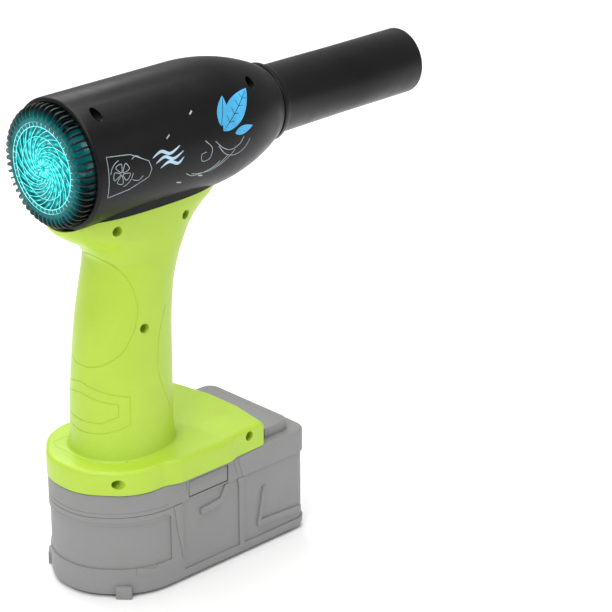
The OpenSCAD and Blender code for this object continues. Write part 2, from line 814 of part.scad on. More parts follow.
// Battery leads run from the terminal block to the board, motor leads from the board to the motor.
// A motor lead's fourth value is 1 where the three lie side by side across the grip, 0 where along it.
lead_r = 1;
battery_lead = [[-46, 5, term_z[1] + 0.5], [-45, 5, foot_top + 3], [-42, 4, foot_top + 7], [-38, 2.4, board_z[0] + 1],
    [-36, 1.9, board_z[0] + 3]];
lead_gap = 2.6;
motor_lead = [[-36, 2, board_z[1] - 3, 0], [-40, 4, board_z[1] + 8, 0], [-42, 6, 150, 0], [-38, 11, 166, 0],
    [-31, 13, 184, 1], [-16, 9, 197.5, 1], [5, 3, 197.5, 1], [8, 1, 203, 0], [8, 0, 212, 0],
    [8, 0, barrel_z - stator_r - 1, 0]];
module leads() {
    color("#b3382e") {
        for (s = [-1, 1])
            wire([for (p = battery_lead) [p[0], s * p[1], p[2]]], lead_r);
        for (k = [-1:1])
            wire([for (p = motor_lead) [p[0], p[1], p[2]] + lead_gap * k * [1 - p[3], p[3], 0]], lead_r * 0.8);
    }
}

// --- Battery pack ---

function pack_path(i) = both_sides([
    [-pack_len / 2 + i, -13 + i / 2, 31], [-50.5 + i / 2, -pack_half + i, 40], [pack_front - i, -pack_half + i, 9]]);

module pack_block() {
    difference() {
        union() {
            box([block_x0, -neck_half, pack_h - 0.5], [pad_x0 + 1, neck_half, pack_h + neck_h]);
            box([block_x0, -flange_half, pack_h + neck_h], [pad_x0 + 1, flange_half, block_top]);
            translate([0, 0, pack_h - 0.5]) linear_extrude(block_h + 0.5)
                polygon(outline([[pad_x0, -pad_half, 0], [block_x1, -pad_half, 6], [block_x1, pad_half, 6], [pad_x0, pad_half, 0]]));
        }
        for (y = blade_y)
            box([block_x0 - 1, y - slot_half, blade_z[0] - 0.6], [block_x0 + 16, y + slot_half, blade_z[1] + 0.6]);
    }
}

slot_half = 1.7;
well_y = [post_y[0] - latch_travel - 1.5, flange_half + 1];
hook_z = [pack_h + neck_h + 0.5, pack_h + block_h - 1.6];
module latch_well(side) {
    x0 = hook_x[0] - slide_gap - 0.4;
    x1 = hook_x[1] + slide_gap + 0.4;
    low_y = side * well_y[0];
    mid_y = side * 22.4;
    far_y = side * well_y[1];
    box([x0, min(low_y, mid_y), seam_z + 2], [x1, max(low_y, mid_y), hook_z[1] + slide_gap]);
    box([x0, min(low_y, far_y), hook_z[0] - slide_gap], [x1, max(low_y, far_y), hook_z[1] + slide_gap]);
}

module button_window(side) {
    y0 = side * (pack_half - button_t - latch_travel - 2.6);
    y1 = side * (pack_half + 2);
    box([button_x[0] - slide_gap, min(y0, y1), button_z[0] - slide_gap],
        [button_x[1] + slide_gap, max(y0, y1), button_z[1] + slide_gap]);
}

post_x = pack_front - 6;
pack_post = [[-58.5, 19], [-58.5, -19], [post_x, 27], [post_x, -27]];
module pack_cover() {
    color("#9b9b9b")
    difference() {
        union() {
            difference() {
                translate([0, 0, seam_z]) linear_extrude(pack_h - seam_z) polygon(outline(pack_path(0)));
                translate([0, 0, seam_z - 1]) linear_extrude(pack_h - seam_z + 1 - pack_wall) polygon(outline(pack_path(pack_wall)));
            }
            pack_block();
            for (p = pack_post)
                translate([p[0], p[1], seam_z]) cylinder(r = 3.4, h = pack_h - seam_z - 1);
        }
        for (side = [right, left]) {
            latch_well(side);
            button_window(side);
        }
        for (p = pack_post)
            translate([p[0], p[1], seam_z - 1]) cylinder(r = screw_r, h = 10);
    }
}

pad_z = 1.2;
module pack_tray() {
    color("#8d8d8d")
    difference() {
        union() {
            difference() {
                translate([0, 0, pad_z]) linear_extrude(seam_z - seat_gap - pad_z) polygon(outline(pack_path(0)));
                translate([0, 0, pad_z + pack_wall]) linear_extrude(seam_z) polygon(outline(pack_path(pack_wall)));
            }
            linear_extrude(pad_z + 0.5)
                polygon(outline(both_sides([[-58, -14, 8], [-44, -25, 8], [pack_front - 14, -25, 6]])));
            for (side = [right, left])
                translate([-58, side * 30.6, 0]) rotate(side * 47) translate([-4, -1.2, 0]) cube([8, 2.6, 7]);
            for (p = pack_post)
                translate([p[0], p[1], pad_z]) cylinder(r = 3.4, h = seam_z - seat_gap - pad_z);
        }
        for (p = pack_post) {
            translate([p[0], p[1], -1]) cylinder(r = screw_r + seat_gap, h = seam_z + 2);
            translate([p[0], p[1], -1]) cylinder(r = recess_r, h = seam_z - 8);
        }
    }
}

module pack_screws() {
    color("#8a8d90")
    for (p = pack_post) {
        translate([p[0], p[1], seam_z - 9 - head_t]) cylinder(r = head_r, h = head_t);
        translate([p[0], p[1], seam_z - 9.01]) cylinder(r = screw_r - 0.05, h = 16);
    }
}

cell_x0 = row_x - (cells_in_row - 1) / 2 * cell_pitch;
cell_rows = [for (i = [0:cells_in_row - 1], k = [0:1])
    [cell_x0 + i * cell_pitch, pad_z + cell_z0 + cell_d / 2 + k * (cell_d + 0.2)]];
module pack_cells() {
    color("#4f86b8")
    for (p = cell_rows)
        rod_y(p[0], p[1], -cell_len / 2, cell_len / 2, cell_d / 2);
}

// Plastic frame that holds one end of every cell.
module cell_holder(side) {
    y0 = side * (cell_len / 2 - holder_t - 2);
    y1 = side * (cell_len / 2 - 2);
    z0 = pad_z + pack_wall + 0.2;
    half_len = cells_in_row * cell_pitch / 2 + 2.4;
    color("#303134")
    difference() {
        box([row_x - half_len, min(y0, y1), z0], [row_x + half_len, max(y0, y1), seam_z - 2.4]);
        for (p = cell_rows)
            rod_y(p[0], p[1], -cell_len, cell_len, cell_d / 2 + seat_gap / 2);
    }
}

module cell_holder_right() {
    cell_holder(right);
}

module cell_holder_left() {
    cell_holder(left);
}

module cell_straps() {
    strap_t = 0.3;
    strap_h = 2 * cell_d - 6;
    z0 = pad_z + cell_z0 + 3;
    color("#d0d2d4")
    for (side = [right, left], i = [0:cells_in_row - 1]) {
        y0 = side * (cell_len / 2 + 0.02);
        y1 = side * (cell_len / 2 + strap_t);
        x = cell_x0 + i * cell_pitch;
        box([x - 5, min(y0, y1), z0], [x + 5, max(y0, y1), z0 + strap_h]);
    }
}

module pack_board() {
    color("#2f6b46") box([-48, -20, seam_z + 0.6], [52, 20, seam_z + 2.2]);
}

// Clips that grip the four blades, on posts up from the board.
module pack_contacts() {
    gap = 0.15;
    leaf = 0.6;
    color("#c9a14a")
    for (y = blade_y, s = [-1, 1]) {
        y0 = y + s * (blade_t / 2 + gap);
        y1 = y + s * (blade_t / 2 + gap + leaf);
        box([block_x0 + 1, min(y0, y1), blade_z[0] - 0.3], [block_x0 + 13, max(y0, y1), blade_z[1] + 0.3]);
    }
}

arm_z = [button_z[0] + 3, button_z[0] + 6];
module latch(side) {
    face = pack_half - 0.2;
    color("#7b7b7b")
    scale([1, side, 1]) {
        box([button_x[0], face - button_t, button_z[0]], [button_x[1], face, button_z[1]]);
        box([hook_x[0], post_y[0], arm_z[0]], [hook_x[1], face - button_t + 0.1, arm_z[1]]);
        box([hook_x[0], post_y[0], arm_z[0]], [hook_x[1], post_y[1], hook_z[1]]);
        box([hook_x[0], post_y[0], hook_z[0]], [hook_x[1], flange_half - 0.1, hook_z[1]]);
    }
}

module latch_right() {
    latch(right);
}

module latch_left() {
    latch(left);
}

latch_spring_len = 8;
module latch_spring(side) {
    inside = pack_half - 0.2 - button_t - 0.05;
    color("#c9ccd0")
    translate([6, side * inside, (button_z[0] + button_z[1]) / 2]) rotate([side * 90, 0, 0]) coil(latch_spring_len, 2.6, 0.4, 4);
}

module latch_spring_right() {
    latch_spring(right);
}

module latch_spring_left() {
    latch_spring(left);
}

barrel_right();
barrel_left();
barrel_screws();
intake_grille();
swirl_guard();
fan_duct();
impeller();
spinner();
motor_shaft();
motor_magnet();
motor_stator();
motor_coils();
motor_bearings();
motor_cap();
nozzle_socket();
nozzle_tube();
nozzle_seal();
handle_right();
handle_left();
handle_screws();
trigger();
trigger_spring();
switch_body();
controller_board();
controller_parts();
terminal_block();
terminal_blades();
leads();
pack_cover();
pack_tray();
pack_cells();
cell_holder_right();
cell_holder_left();
cell_straps();
pack_board();
pack_contacts();
pack_screws();
latch_right();
latch_left();
latch_spring_right();
latch_spring_left();
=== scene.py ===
"""Cordless leaf blower: the visible pieces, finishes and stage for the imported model."""
import json
import math

import bmesh
import bpy
from mathutils import Matrix, Vector

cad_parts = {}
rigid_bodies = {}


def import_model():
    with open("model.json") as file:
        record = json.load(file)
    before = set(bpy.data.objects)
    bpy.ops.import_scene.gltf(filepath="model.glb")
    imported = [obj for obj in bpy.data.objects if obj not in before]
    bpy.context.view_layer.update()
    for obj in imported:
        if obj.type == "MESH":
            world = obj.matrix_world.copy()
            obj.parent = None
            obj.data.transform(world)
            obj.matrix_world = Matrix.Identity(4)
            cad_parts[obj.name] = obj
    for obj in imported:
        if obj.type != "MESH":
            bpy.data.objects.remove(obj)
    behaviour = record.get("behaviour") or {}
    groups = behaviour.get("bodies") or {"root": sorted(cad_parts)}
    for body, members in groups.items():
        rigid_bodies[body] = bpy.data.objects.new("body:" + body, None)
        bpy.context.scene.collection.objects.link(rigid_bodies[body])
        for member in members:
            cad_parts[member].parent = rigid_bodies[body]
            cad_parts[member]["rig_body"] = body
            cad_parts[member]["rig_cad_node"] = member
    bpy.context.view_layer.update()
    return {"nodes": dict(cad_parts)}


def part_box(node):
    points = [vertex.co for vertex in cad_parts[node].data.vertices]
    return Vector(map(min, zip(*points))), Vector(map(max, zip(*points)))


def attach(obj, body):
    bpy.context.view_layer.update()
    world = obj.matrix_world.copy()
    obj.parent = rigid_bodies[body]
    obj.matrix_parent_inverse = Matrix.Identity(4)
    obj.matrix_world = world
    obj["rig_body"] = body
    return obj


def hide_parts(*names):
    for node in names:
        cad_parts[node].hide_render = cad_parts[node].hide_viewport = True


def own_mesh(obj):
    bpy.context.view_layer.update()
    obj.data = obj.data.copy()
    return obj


bl_info = {
    "name": "Cordless Leaf Blower",
    "version": (1, 0, 0),
    "blender": (4, 5, 0),
    "location": "View3D > Sidebar > Leaf Blower",
    "description": "Builds the shells, nozzle, intake, pack, prints and stage of a cordless leaf blower",
    "category": "Add Mesh",
}

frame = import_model()
MM = 0.001
RIGHT, LEFT = -1, 1
SIDE_NAME = {RIGHT: "right", LEFT: "left"}


def corner_box(node):
    """Lowest and highest corner of a CAD node in millimetres."""
    low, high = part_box(node)
    return Vector(low) / MM, Vector(high) / MM


BARREL_LOW, BARREL_HIGH = corner_box("barrel_right")
NOZZLE_LOW, NOZZLE_HIGH = corner_box("nozzle_tube")
COVER_LOW, COVER_HIGH = corner_box("pack_cover")
HANDLE_LOW = corner_box("handle_right")[0]
GRILLE_LOW, GRILLE_HIGH = corner_box("intake_grille")
GUARD_LOW, GUARD_HIGH = corner_box("swirl_guard")
TRIGGER_LOW = corner_box("trigger")[0]
AXIS_Z = (GRILLE_LOW.z + GRILLE_HIGH.z) / 2


# --- Sizes and colours ---------------------------------------------------------------------------

def colour(name, description, value):
    return bpy.props.FloatVectorProperty(name=name, description=description, default=value, size=3,
                                         subtype="COLOR", min=0.0, max=1.0)


def length(name, description, value):
    return bpy.props.FloatProperty(name=name, description=description, default=value * MM, min=0.0,
                                   unit="LENGTH", subtype="DISTANCE")


class BlowerColours(bpy.types.PropertyGroup):
    """Colours of the moulded parts."""

    handle: colour("Handle", "Lime green of the grip and foot", (0.47, 0.68, 0.05))
    barrel: colour("Barrel", "Black of the barrel, nozzle and grille", (0.006, 0.006, 0.0065))
    pack: colour("Battery pack", "Grey of the pack's shells", (0.27, 0.27, 0.27))
    # Base teal of the swirl guard and its painted glow.
    glow: colour("Swirl guard", "Teal of the lit swirl guard", (0.0, 0.78, 0.80))
    print_blue: colour("Print", "Sky blue of the printed leaf", (0.07, 0.47, 0.83))
    print_line: colour("Print lines", "Pale grey of the printed lines", (0.42, 0.50, 0.55))


class BlowerSizes(bpy.types.PropertyGroup):
    """Sizes that only the looks depend on."""

    groove: length("Groove width", "Width of the grooves in the grip", 0.9)
    rib: length("Grille rib", "Thickness of one rib of the intake grille", 1.0)
    print_lift: length("Print lift", "How far the print stands on the barrel", 0.06)
    foot_fillet: length("Foot fillet", "Fillet between the grip and the foot", 1.8)


def colours():
    return bpy.context.scene.blower_colours


def sizes():
    return bpy.context.scene.blower_sizes


# --- Shader maths --------------------------------------------------------------------------------

class Signal:
    """A shader value that adds Math nodes when it is used in an expression."""

    def __init__(self, finish, socket):
        self.finish, self.socket = finish, socket

    def _math(self, operation, *values):
        return self.finish.node("ShaderNodeMath", {"operation": operation}, *values)

    def __add__(self, other):
        return self._math("ADD", self, other)

    def __sub__(self, other):
        return self._math("SUBTRACT", self, other)

    def __rsub__(self, other):
        return self._math("SUBTRACT", other, self)

    def __mul__(self, other):
        return self._math("MULTIPLY", self, other)

    def __truediv__(self, other):
        return self._math("DIVIDE", self, other)

    __radd__, __rmul__ = __add__, __mul__

    def sine(self):
        return self._math("SINE", self)

    def angle_to(self, other):
        return self._math("ARCTAN2", self, other)

    def root(self):
        return self._math("SQRT", self)

    def ramp(self, low, high, to_low=0.0, to_high=1.0):
        """Smooth change from one level to another as this value runs from low to high."""
        return self.finish.node("ShaderNodeMapRange", {"interpolation_type": "SMOOTHSTEP"},
                                self, low, high, to_low, to_high)


class Finish:
    """One material, built from its Principled shader backwards."""

    def __init__(self, name):
        self.material = bpy.data.materials.new(name)
        self.material.use_nodes = True
        self.tree = self.material.node_tree
        self.shader = self.tree.nodes["Principled BSDF"]
        self.place = self.node("ShaderNodeTexCoord", {}, output="Object")

    def node(self, kind, settings, *values, output=0, **named):
        made = self.tree.nodes.new(kind)
        for key, value in settings.items():
            setattr(made, key, value)
        for index, value in list(enumerate(values)) + list(named.items()):
            self.put(made.inputs[index if isinstance(index, int) else index.replace("_", " ")], value)
        return Signal(self, made.outputs[output])

    def put(self, socket, value):
        if isinstance(value, Signal):
            self.tree.links.new(value.socket, socket)
        elif value is not None:
            socket.default_value = value

    def noise(self, size, detail=3.0, stretch=(1, 1, 1), rough=0.55, seed=0.0):
        """Cloudy noise whose blotches are about size millimetres across."""
        place = self.node("ShaderNodeMapping", {}, self.place, (seed, seed * 0.7, -seed), None, stretch)
        return self.node("ShaderNodeTexNoise", {"noise_dimensions": "3D"}, Vector=place,
                         Scale=1 / (size * MM), Detail=detail, Roughness=rough)

    def mix(self, factor, first, second):
        """Colour between two colours."""
        made = self.tree.nodes.new("ShaderNodeMix")
        made.data_type = "RGBA"
        self.put(made.inputs[0], factor)
        for index, value in ((6, first), (7, second)):
            self.put(made.inputs[index], value if isinstance(value, Signal) else (*value, 1.0))
        return Signal(self, made.outputs[2])

    def bump(self, height, strength, depth):
        return self.node("ShaderNodeBump", {}, Strength=strength, Distance=depth * MM, Height=height)

    def set(self, **values):
        for name, value in values.items():
            socket = self.shader.inputs[name.replace("_", " ")]
            if isinstance(value, tuple) and len(value) == 3:
                value = (*value, 1.0)
            self.put(socket, value)
        return self


def shade(base, amount):
    """A colour made darker (below 1) or lighter (above 1)."""
    return tuple(min(1.0, c * amount) for c in base)


def moulded(name, base, rough, grain=0.35, grain_depth=0.02, spread=0.06, coat=0.0, level=0.5):
    """Injection-moulded plastic: fine spark-eroded grain, slow colour drift and uneven gloss."""
    made = Finish(name)
    drift = made.noise(28, 3)
    speckle = made.noise(0.9, 2)
    grain_height = made.noise(grain, 2, rough=0.6)
    tone = made.mix(drift.ramp(0.3, 0.7), shade(base, 1 - spread), shade(base, 1 + spread))
    tone = made.mix(speckle.ramp(0.35, 0.75) * 0.35, tone, shade(base, 1 - 2 * spread))
    handled = made.noise(9, 4, seed=3.1)
    gloss = drift.ramp(0.25, 0.75, rough - 0.03, rough + 0.03) + handled.ramp(0.35, 0.7, -0.03, 0.04)
    return made.set(Base_Color=tone, Roughness=gloss, Normal=made.bump(grain_height, 0.35, grain_depth),
                    Coat_Weight=coat, Coat_Roughness=0.22, Specular_IOR_Level=level)


def metal(name, base, rough, stretch=(1, 1, 1), size=0.6):
    """Machined or rolled metal with fine streaks."""
    made = Finish(name)
    streak = made.noise(size, 4, stretch)
    cloud = made.noise(6, 3, seed=5)
    tone = made.mix(cloud.ramp(0.3, 0.7), shade(base, 0.82), base)
    gloss = streak.ramp(0.3, 0.7, rough - 0.06, rough + 0.1)
    return made.set(Base_Color=tone, Metallic=1.0, Roughness=gloss, Normal=made.bump(streak, 0.2, 0.01))


def polar(made):
    """Radius in millimetres and angle round the barrel's axis."""
    split = made.tree.nodes.new("ShaderNodeSeparateXYZ")
    made.put(split.inputs[0], made.place)
    y = Signal(made, split.outputs[1]) / MM
    z = Signal(made, split.outputs[2]) / MM - AXIS_Z
    return (y * y + z * z).root(), z.angle_to(y)


def finish_grille():
    """Black ribs with a painted teal glow near the middle, standing in for the guard's light falling on
    them.
    """
    base = shade(tuple(colours().barrel), 1.1)
    made = moulded("black_grille", base, 0.3, grain=0.5, grain_depth=0.008, level=0.3)
    radius, _ = polar(made)
    # Painted light: teal emission on the ribs near the guard stands in for the guard's light falling on
    # them.
    painted_light_spill = radius.ramp(25.0, 31.5, 1.0, 0.0) * made.noise(5, 3, seed=8).ramp(0.3, 0.7, 0.5, 1.0)
    lit = made.mix(painted_light_spill, (0.0, 0.0, 0.0), (0.0, 0.35, 0.36))
    return made.set(Emission_Color=lit, Emission_Strength=0.5)


def finish_glow():
    """Teal plastic with a painted glow: brighter along the spiral and towards the hub, darker between."""
    made = Finish("teal_glow")
    base = tuple(colours().glow)
    radius, turn = polar(made)
    spiral = (turn * 16 + radius * 0.55).sine().ramp(-0.4, 1.0)
    cloud = made.noise(2.4, 4, seed=2)
    level = spiral * 0.55 + cloud.ramp(0.35, 0.7) * 0.45
    # Painted glow: emission that is strongest at the hub and fades outwards.
    painted_glow_fade = radius.ramp(9, 24, 1.0, 0.25)
    lit = made.mix(level * painted_glow_fade, shade(base, 0.14), (0.06, 0.92, 0.90))
    return made.set(Base_Color=made.mix(level, shade(base, 0.3), base), Emission_Color=lit,
                    Emission_Strength=0.6, Roughness=cloud.ramp(0.3, 0.7, 0.2, 0.4),
                    Normal=made.bump(cloud, 0.3, 0.1))


def finish_glow_line():
    """Bright edge lines of the guard, with a painted glow."""
    made = Finish("teal_glow_line")
    cloud = made.noise(3.0, 3, seed=4)
    # Painted glow: the edge lines' colour is also their emission.
    lit = made.mix(cloud.ramp(0.3, 0.7), (0.04, 0.72, 0.72), (0.35, 1.0, 0.97))
    return made.set(Base_Color=lit, Emission_Color=lit, Emission_Strength=0.7,
                    Roughness=cloud.ramp(0.3, 0.7, 0.25, 0.45))


def ink(name, base, rough):
    """Pad-printed ink: thin, matt, with a slightly worn body."""
    made = Finish(name)
    wear = made.noise(0.7, 4, seed=1)
    drift = made.noise(9, 2)
    tone = made.mix(drift.ramp(0.3, 0.7), shade(base, 0.85), shade(base, 1.08))
    return made.set(Base_Color=made.mix(wear.ramp(0.62, 0.8) * 0.35, tone, shade(base, 0.55)),
                    Roughness=wear.ramp(0.3, 0.7, rough, rough + 0.14),
                    Normal=made.bump(wear, 0.2, 0.01))


def finish_glow_deep():
    """Deep teal plate behind the swirl arms, with an uneven painted glow that fades outwards."""
    made = Finish("teal_plate")
    radius, _ = polar(made)
    cloud = made.noise(3.2, 4, seed=6)
    painted_glow_fade = radius.ramp(6, 23, 1.0, 0.12)
    level = cloud.ramp(0.3, 0.75) * painted_glow_fade
    # Painted glow: emission strongest at the middle, fading outwards.
    lit = made.mix(level, (0.0, 0.07, 0.08), (0.02, 0.62, 0.62))
    return made.set(Base_Color=made.mix(level, (0.0, 0.05, 0.06), (0.0, 0.4, 0.4)), Emission_Color=lit,
                    Emission_Strength=0.8, Roughness=cloud.ramp(0.3, 0.7, 0.3, 0.5),
                    Normal=made.bump(cloud, 0.3, 0.1))


def finish_floor():
    made = Finish("studio_floor")
    cloud = made.noise(160, 2)
    tone = made.mix(cloud.ramp(0.3, 0.7), (0.965, 0.965, 0.965), (0.98, 0.98, 0.98))
    return made.set(Base_Color=tone, Roughness=cloud.ramp(0.3, 0.7, 0.5, 0.6))


# Maker, material name, colour or the colour property that holds it, roughness, further settings
PLAIN_FINISHES = {
    "lime": (moulded, "lime_plastic", "handle", 0.38,
             {"grain": 0.5, "grain_depth": 0.012, "spread": 0.03}),
    "black": (moulded, "satin_black", "barrel", 0.34,
              {"grain": 0.4, "grain_depth": 0.01, "spread": 0.12, "level": 0.2}),
    "grey": (moulded, "grey_plastic", "pack", 0.5,
             {"grain": 0.6, "grain_depth": 0.02, "spread": 0.025}),
    "dark": (moulded, "dark_plastic", (0.035, 0.036, 0.038), 0.5, {}),
    "teal": (moulded, "teal_plastic", (0.01, 0.33, 0.36), 0.22, {"coat": 0.4}),
    "rubber": (moulded, "seal_rubber", (0.02, 0.02, 0.02), 0.7, {"grain": 0.8, "grain_depth": 0.03}),
    "board": (moulded, "board_green", (0.015, 0.13, 0.05), 0.25, {"coat": 0.3}),
    "wrap": (moulded, "cell_wrap", (0.03, 0.17, 0.42), 0.28, {"coat": 0.3}),
    "lead": (moulded, "lead_red", (0.45, 0.02, 0.015), 0.4, {}),
    "steel": (metal, "ground_steel", (0.62, 0.63, 0.65), 0.25, {"stretch": (1, 12, 12)}),
    "zinc": (metal, "screw_steel", (0.2, 0.2, 0.21), 0.35, {}),
    "magnet": (metal, "magnet_steel", (0.33, 0.34, 0.36), 0.3, {}),
    "laminate": (metal, "lamination_steel", (0.3, 0.31, 0.33), 0.45,
                 {"stretch": (60, 1, 1), "size": 3}),
    "copper": (metal, "copper_wire", (0.72, 0.32, 0.13), 0.32, {"stretch": (1, 20, 20), "size": 4}),
    "brass": (metal, "contact_brass", (0.78, 0.58, 0.25), 0.28, {}),
    "nickel": (metal, "rolled_nickel", (0.7, 0.69, 0.66), 0.3, {"stretch": (1, 1, 14)}),
    "blue_ink": (ink, "print_blue", "print_blue", 0.38, {}),
    "grey_ink": (ink, "print_line", "print_line", 0.38, {}),
    "pale_ink": (ink, "print_wave", (0.50, 0.72, 0.86), 0.38, {}),
}
OWN_FINISHES = {"grille": finish_grille, "glow": finish_glow, "glow_line": finish_glow_line,
                "glow_deep": finish_glow_deep, "floor": finish_floor}
MATERIALS = {}


def finish_named(name):
    """The material of that name, made when it is first asked for."""
    if name in OWN_FINISHES and name not in MATERIALS:
        MATERIALS[name] = OWN_FINISHES[name]().material
    elif name not in MATERIALS:
        maker, label, base, rough, settings = PLAIN_FINISHES[name]
        base = tuple(getattr(colours(), base)) if isinstance(base, str) else base
        MATERIALS[name] = maker(label, base, rough, **settings).material
    return MATERIALS[name]


# --- Modelling helpers ---------------------------------------------------------------------------

def deselect():
    bpy.ops.object.select_all(action="DESELECT")


def pick(obj):
    deselect()
    obj.select_set(True)
    bpy.context.view_layer.objects.active = obj
    return obj


def edit(obj, *steps):
    """Runs (operator, settings) steps in edit mode on the whole mesh."""
    pick(obj)
    bpy.ops.object.mode_set(mode="EDIT")
    bpy.ops.mesh.select_all(action="SELECT")
    for operator, settings in steps:
        operator(**settings)
    bpy.ops.object.mode_set(mode="OBJECT")
    return obj


# Welding distances in metres: ordinary meshes, lofted skins, flat prints and spring coils
WELD, FINE_WELD, FLAT_WELD, COIL_WELD = 0.00001, 0.00000101, 0.0000005, 0.0000001


def merged(obj, distance=WELD):
    return edit(obj, (bpy.ops.mesh.remove_doubles, {"threshold": distance}),
                (bpy.ops.mesh.normals_make_consistent, {"inside": False}))


def place(obj, points):
    """Puts the vertices at points in millimetres."""
    flat = [c * MM for p in points for c in p]
    obj.data.vertices.foreach_set("co", flat)
    obj.data.update()


def renamed(obj, name):
    obj.name = obj.data.name = name
    return obj


def named(name):
    return renamed(bpy.context.object, name)


def ring_of(name, points):
    """Closed line of vertices through points, made from a circle."""
    deselect()
    bpy.ops.mesh.primitive_circle_add(vertices=len(points), radius=0.01)
    obj = named(name)
    place(obj, points)
    return obj


def loft(name, rings, caps=True):
    """Skin of quads through closed rings of points that share a count."""
    around, up = len(rings[0]), len(rings)
    deselect()
    bpy.ops.mesh.primitive_grid_add(x_subdivisions=around, y_subdivisions=up - 1, size=0.01)
    obj = named(name)
    place(obj, [p for ring in rings for p in list(ring) + [ring[0]]])
    pick(obj)
    bpy.ops.object.mode_set(mode="EDIT")
    bpy.ops.mesh.select_all(action="SELECT")
    bpy.ops.mesh.remove_doubles(threshold=FINE_WELD)
    if caps:
        bpy.ops.mesh.select_all(action="SELECT")
        bpy.ops.mesh.region_to_loop()
        bpy.ops.mesh.edge_face_add()
    bpy.ops.object.mode_set(mode="OBJECT")
    return merged(obj, FINE_WELD)


def turned(name, profile, steps=160):
    """Body of revolution about the barrel's axis from a closed (x, radius) line."""
    obj = ring_of(name, [(x, 0, AXIS_Z + r) for x, r in profile])
    edit(obj, (bpy.ops.mesh.spin, {"steps": steps, "angle": math.tau, "center": (0, 0, AXIS_Z * MM),
                                   "axis": (1, 0, 0)}))
    return merged(obj)


def prism(name, outline, low, high, across="z"):
    """Solid between two levels with that outline, along z, y or x."""
    order = {"z": lambda a, b, h: (a, b, h), "y": lambda a, b, h: (a, h, b),
             "x": lambda a, b, h: (h, a, b)}[across]
    obj = ring_of(name, [order(a, b, low) for a, b in outline])
    lift = Vector(order(0, 0, (high - low) * MM))
    edit(obj, (bpy.ops.mesh.edge_face_add, {}),
         (bpy.ops.mesh.extrude_region_move, {"TRANSFORM_OT_translate": {"value": lift}}))
    return merged(obj)


def rod(name, start, end, radius, vertices=40):
    """Round bar between two points in millimetres."""
    start, end = Vector(start), Vector(end)
    run = end - start
    deselect()
    bpy.ops.mesh.primitive_cylinder_add(vertices=vertices, radius=radius * MM, depth=run.length * MM,
                                        location=(start + end) / 2 * MM,
                                        rotation=run.to_track_quat("Z", "Y").to_euler())
    return settled(named(name))


def block(name, low, high):
    low, high = Vector(low), Vector(high)
    deselect()
    bpy.ops.mesh.primitive_cube_add(size=1, location=(low + high) / 2 * MM, scale=(high - low) * MM)
    return settled(named(name))


def side_block(name, side, x, y, z):
    """Block on one side of the middle plane, between pairs of x, y and z."""
    y0, y1 = sorted((side * y[0], side * y[1]))
    return block(name, (x[0], y0, z[0]), (x[1], y1, z[1]))


def settled(obj):
    pick(obj)
    bpy.ops.object.transform_apply(location=True, rotation=True, scale=True)
    return obj


def cord_line(name, points, radius, closed=False, sides=3):
    """Round line through points in millimetres, as a mesh."""
    curve = bpy.data.curves.new(name, "CURVE")
    curve.dimensions, curve.bevel_depth, curve.bevel_resolution = "3D", radius * MM, sides
    curve.use_fill_caps = True
    spline = curve.splines.new("POLY")
    spline.points.add(len(points) - 1)
    for point, place_at in zip(spline.points, points):
        point.co = (*(c * MM for c in place_at), 1)
    spline.use_cyclic_u = closed
    obj = bpy.data.objects.new(name, curve)
    bpy.context.collection.objects.link(obj)
    pick(obj)
    bpy.ops.object.convert(target="MESH")
    return merged(bpy.context.object)


def modified(obj, kind, **settings):
    pick(obj)
    made = obj.modifiers.new(kind.title(), kind)
    for key, value in settings.items():
        setattr(made, key, value)
    bpy.ops.object.modifier_apply(modifier=made.name)
    return obj


def joined(pieces, name):
    deselect()
    for piece in pieces:
        piece.select_set(True)
    bpy.context.view_layer.objects.active = pieces[0]
    bpy.ops.object.join()
    return named(name)


def shape_of(obj):
    return len(obj.data.vertices), len(obj.data.polygons)


def combine(obj, other, operation):
    """Boolean of two closed solids; the exact solver steps in where the quick one declines."""
    before = shape_of(obj)
    modified(obj, "BOOLEAN", operation=operation, object=other, solver="MANIFOLD")
    if shape_of(obj) == before:
        modified(obj, "BOOLEAN", operation=operation, object=other, solver="EXACT")
    bpy.data.objects.remove(other, do_unlink=True)
    return obj


def cut(obj, *cutters):
    for cutter in cutters:
        combine(obj, cutter, "DIFFERENCE")
    return obj


def add(obj, *others):
    for other in others:
        combine(obj, other, "UNION")
    return obj


def copied(obj, name):
    pick(obj)
    bpy.ops.object.duplicate()
    return named(name)


def halved(obj, side):
    """Keeps one side of the middle plane and closes the cut."""
    pick(obj)
    bpy.ops.object.mode_set(mode="EDIT")
    bpy.ops.mesh.select_all(action="SELECT")
    bpy.ops.mesh.bisect(plane_co=(0, side * 0.00001, 0), plane_no=(0, 1, 0), use_fill=True,
                        clear_outer=side == RIGHT, clear_inner=side == LEFT, threshold=0.0000001)
    bpy.ops.object.mode_set(mode="OBJECT")
    return obj


def rounded(obj, width, angle=35, segments=2):
    """Small rounding on the sharp edges."""
    return modified(obj, "BEVEL", width=width * MM, segments=segments, limit_method="ANGLE",
                    angle_limit=math.radians(angle), harden_normals=False, use_clamp_overlap=True)


def finished(obj, finish, slot, body, *nodes, angle=32):
    """Shades, coats and hands the piece over to its body."""
    pick(obj)
    bpy.ops.object.shade_smooth_by_angle(angle=math.radians(angle))
    obj.data.materials.clear()
    obj.data.materials.append(finish_named(finish))
    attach(obj, body)
    if nodes:
        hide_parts(*nodes)
    return obj


# --- Outlines ------------------------------------------------------------------------------------

def corner(before, at, after, radius, steps=8):
    """Arc that rounds a corner."""
    if radius <= 0:
        return [at]
    here = Vector(at)
    u, w = (Vector(before) - here).normalized(), (Vector(after) - here).normalized()
    half = u.angle(w) / 2
    centre = here + (u + w).normalized() * radius / math.sin(half)
    start = here + u * radius / math.tan(half) - centre
    turn = -start.angle_signed(here + w * radius / math.tan(half) - centre)
    return [tuple(centre + Matrix.Rotation(turn * i / steps, 2) @ start) for i in range(steps + 1)]


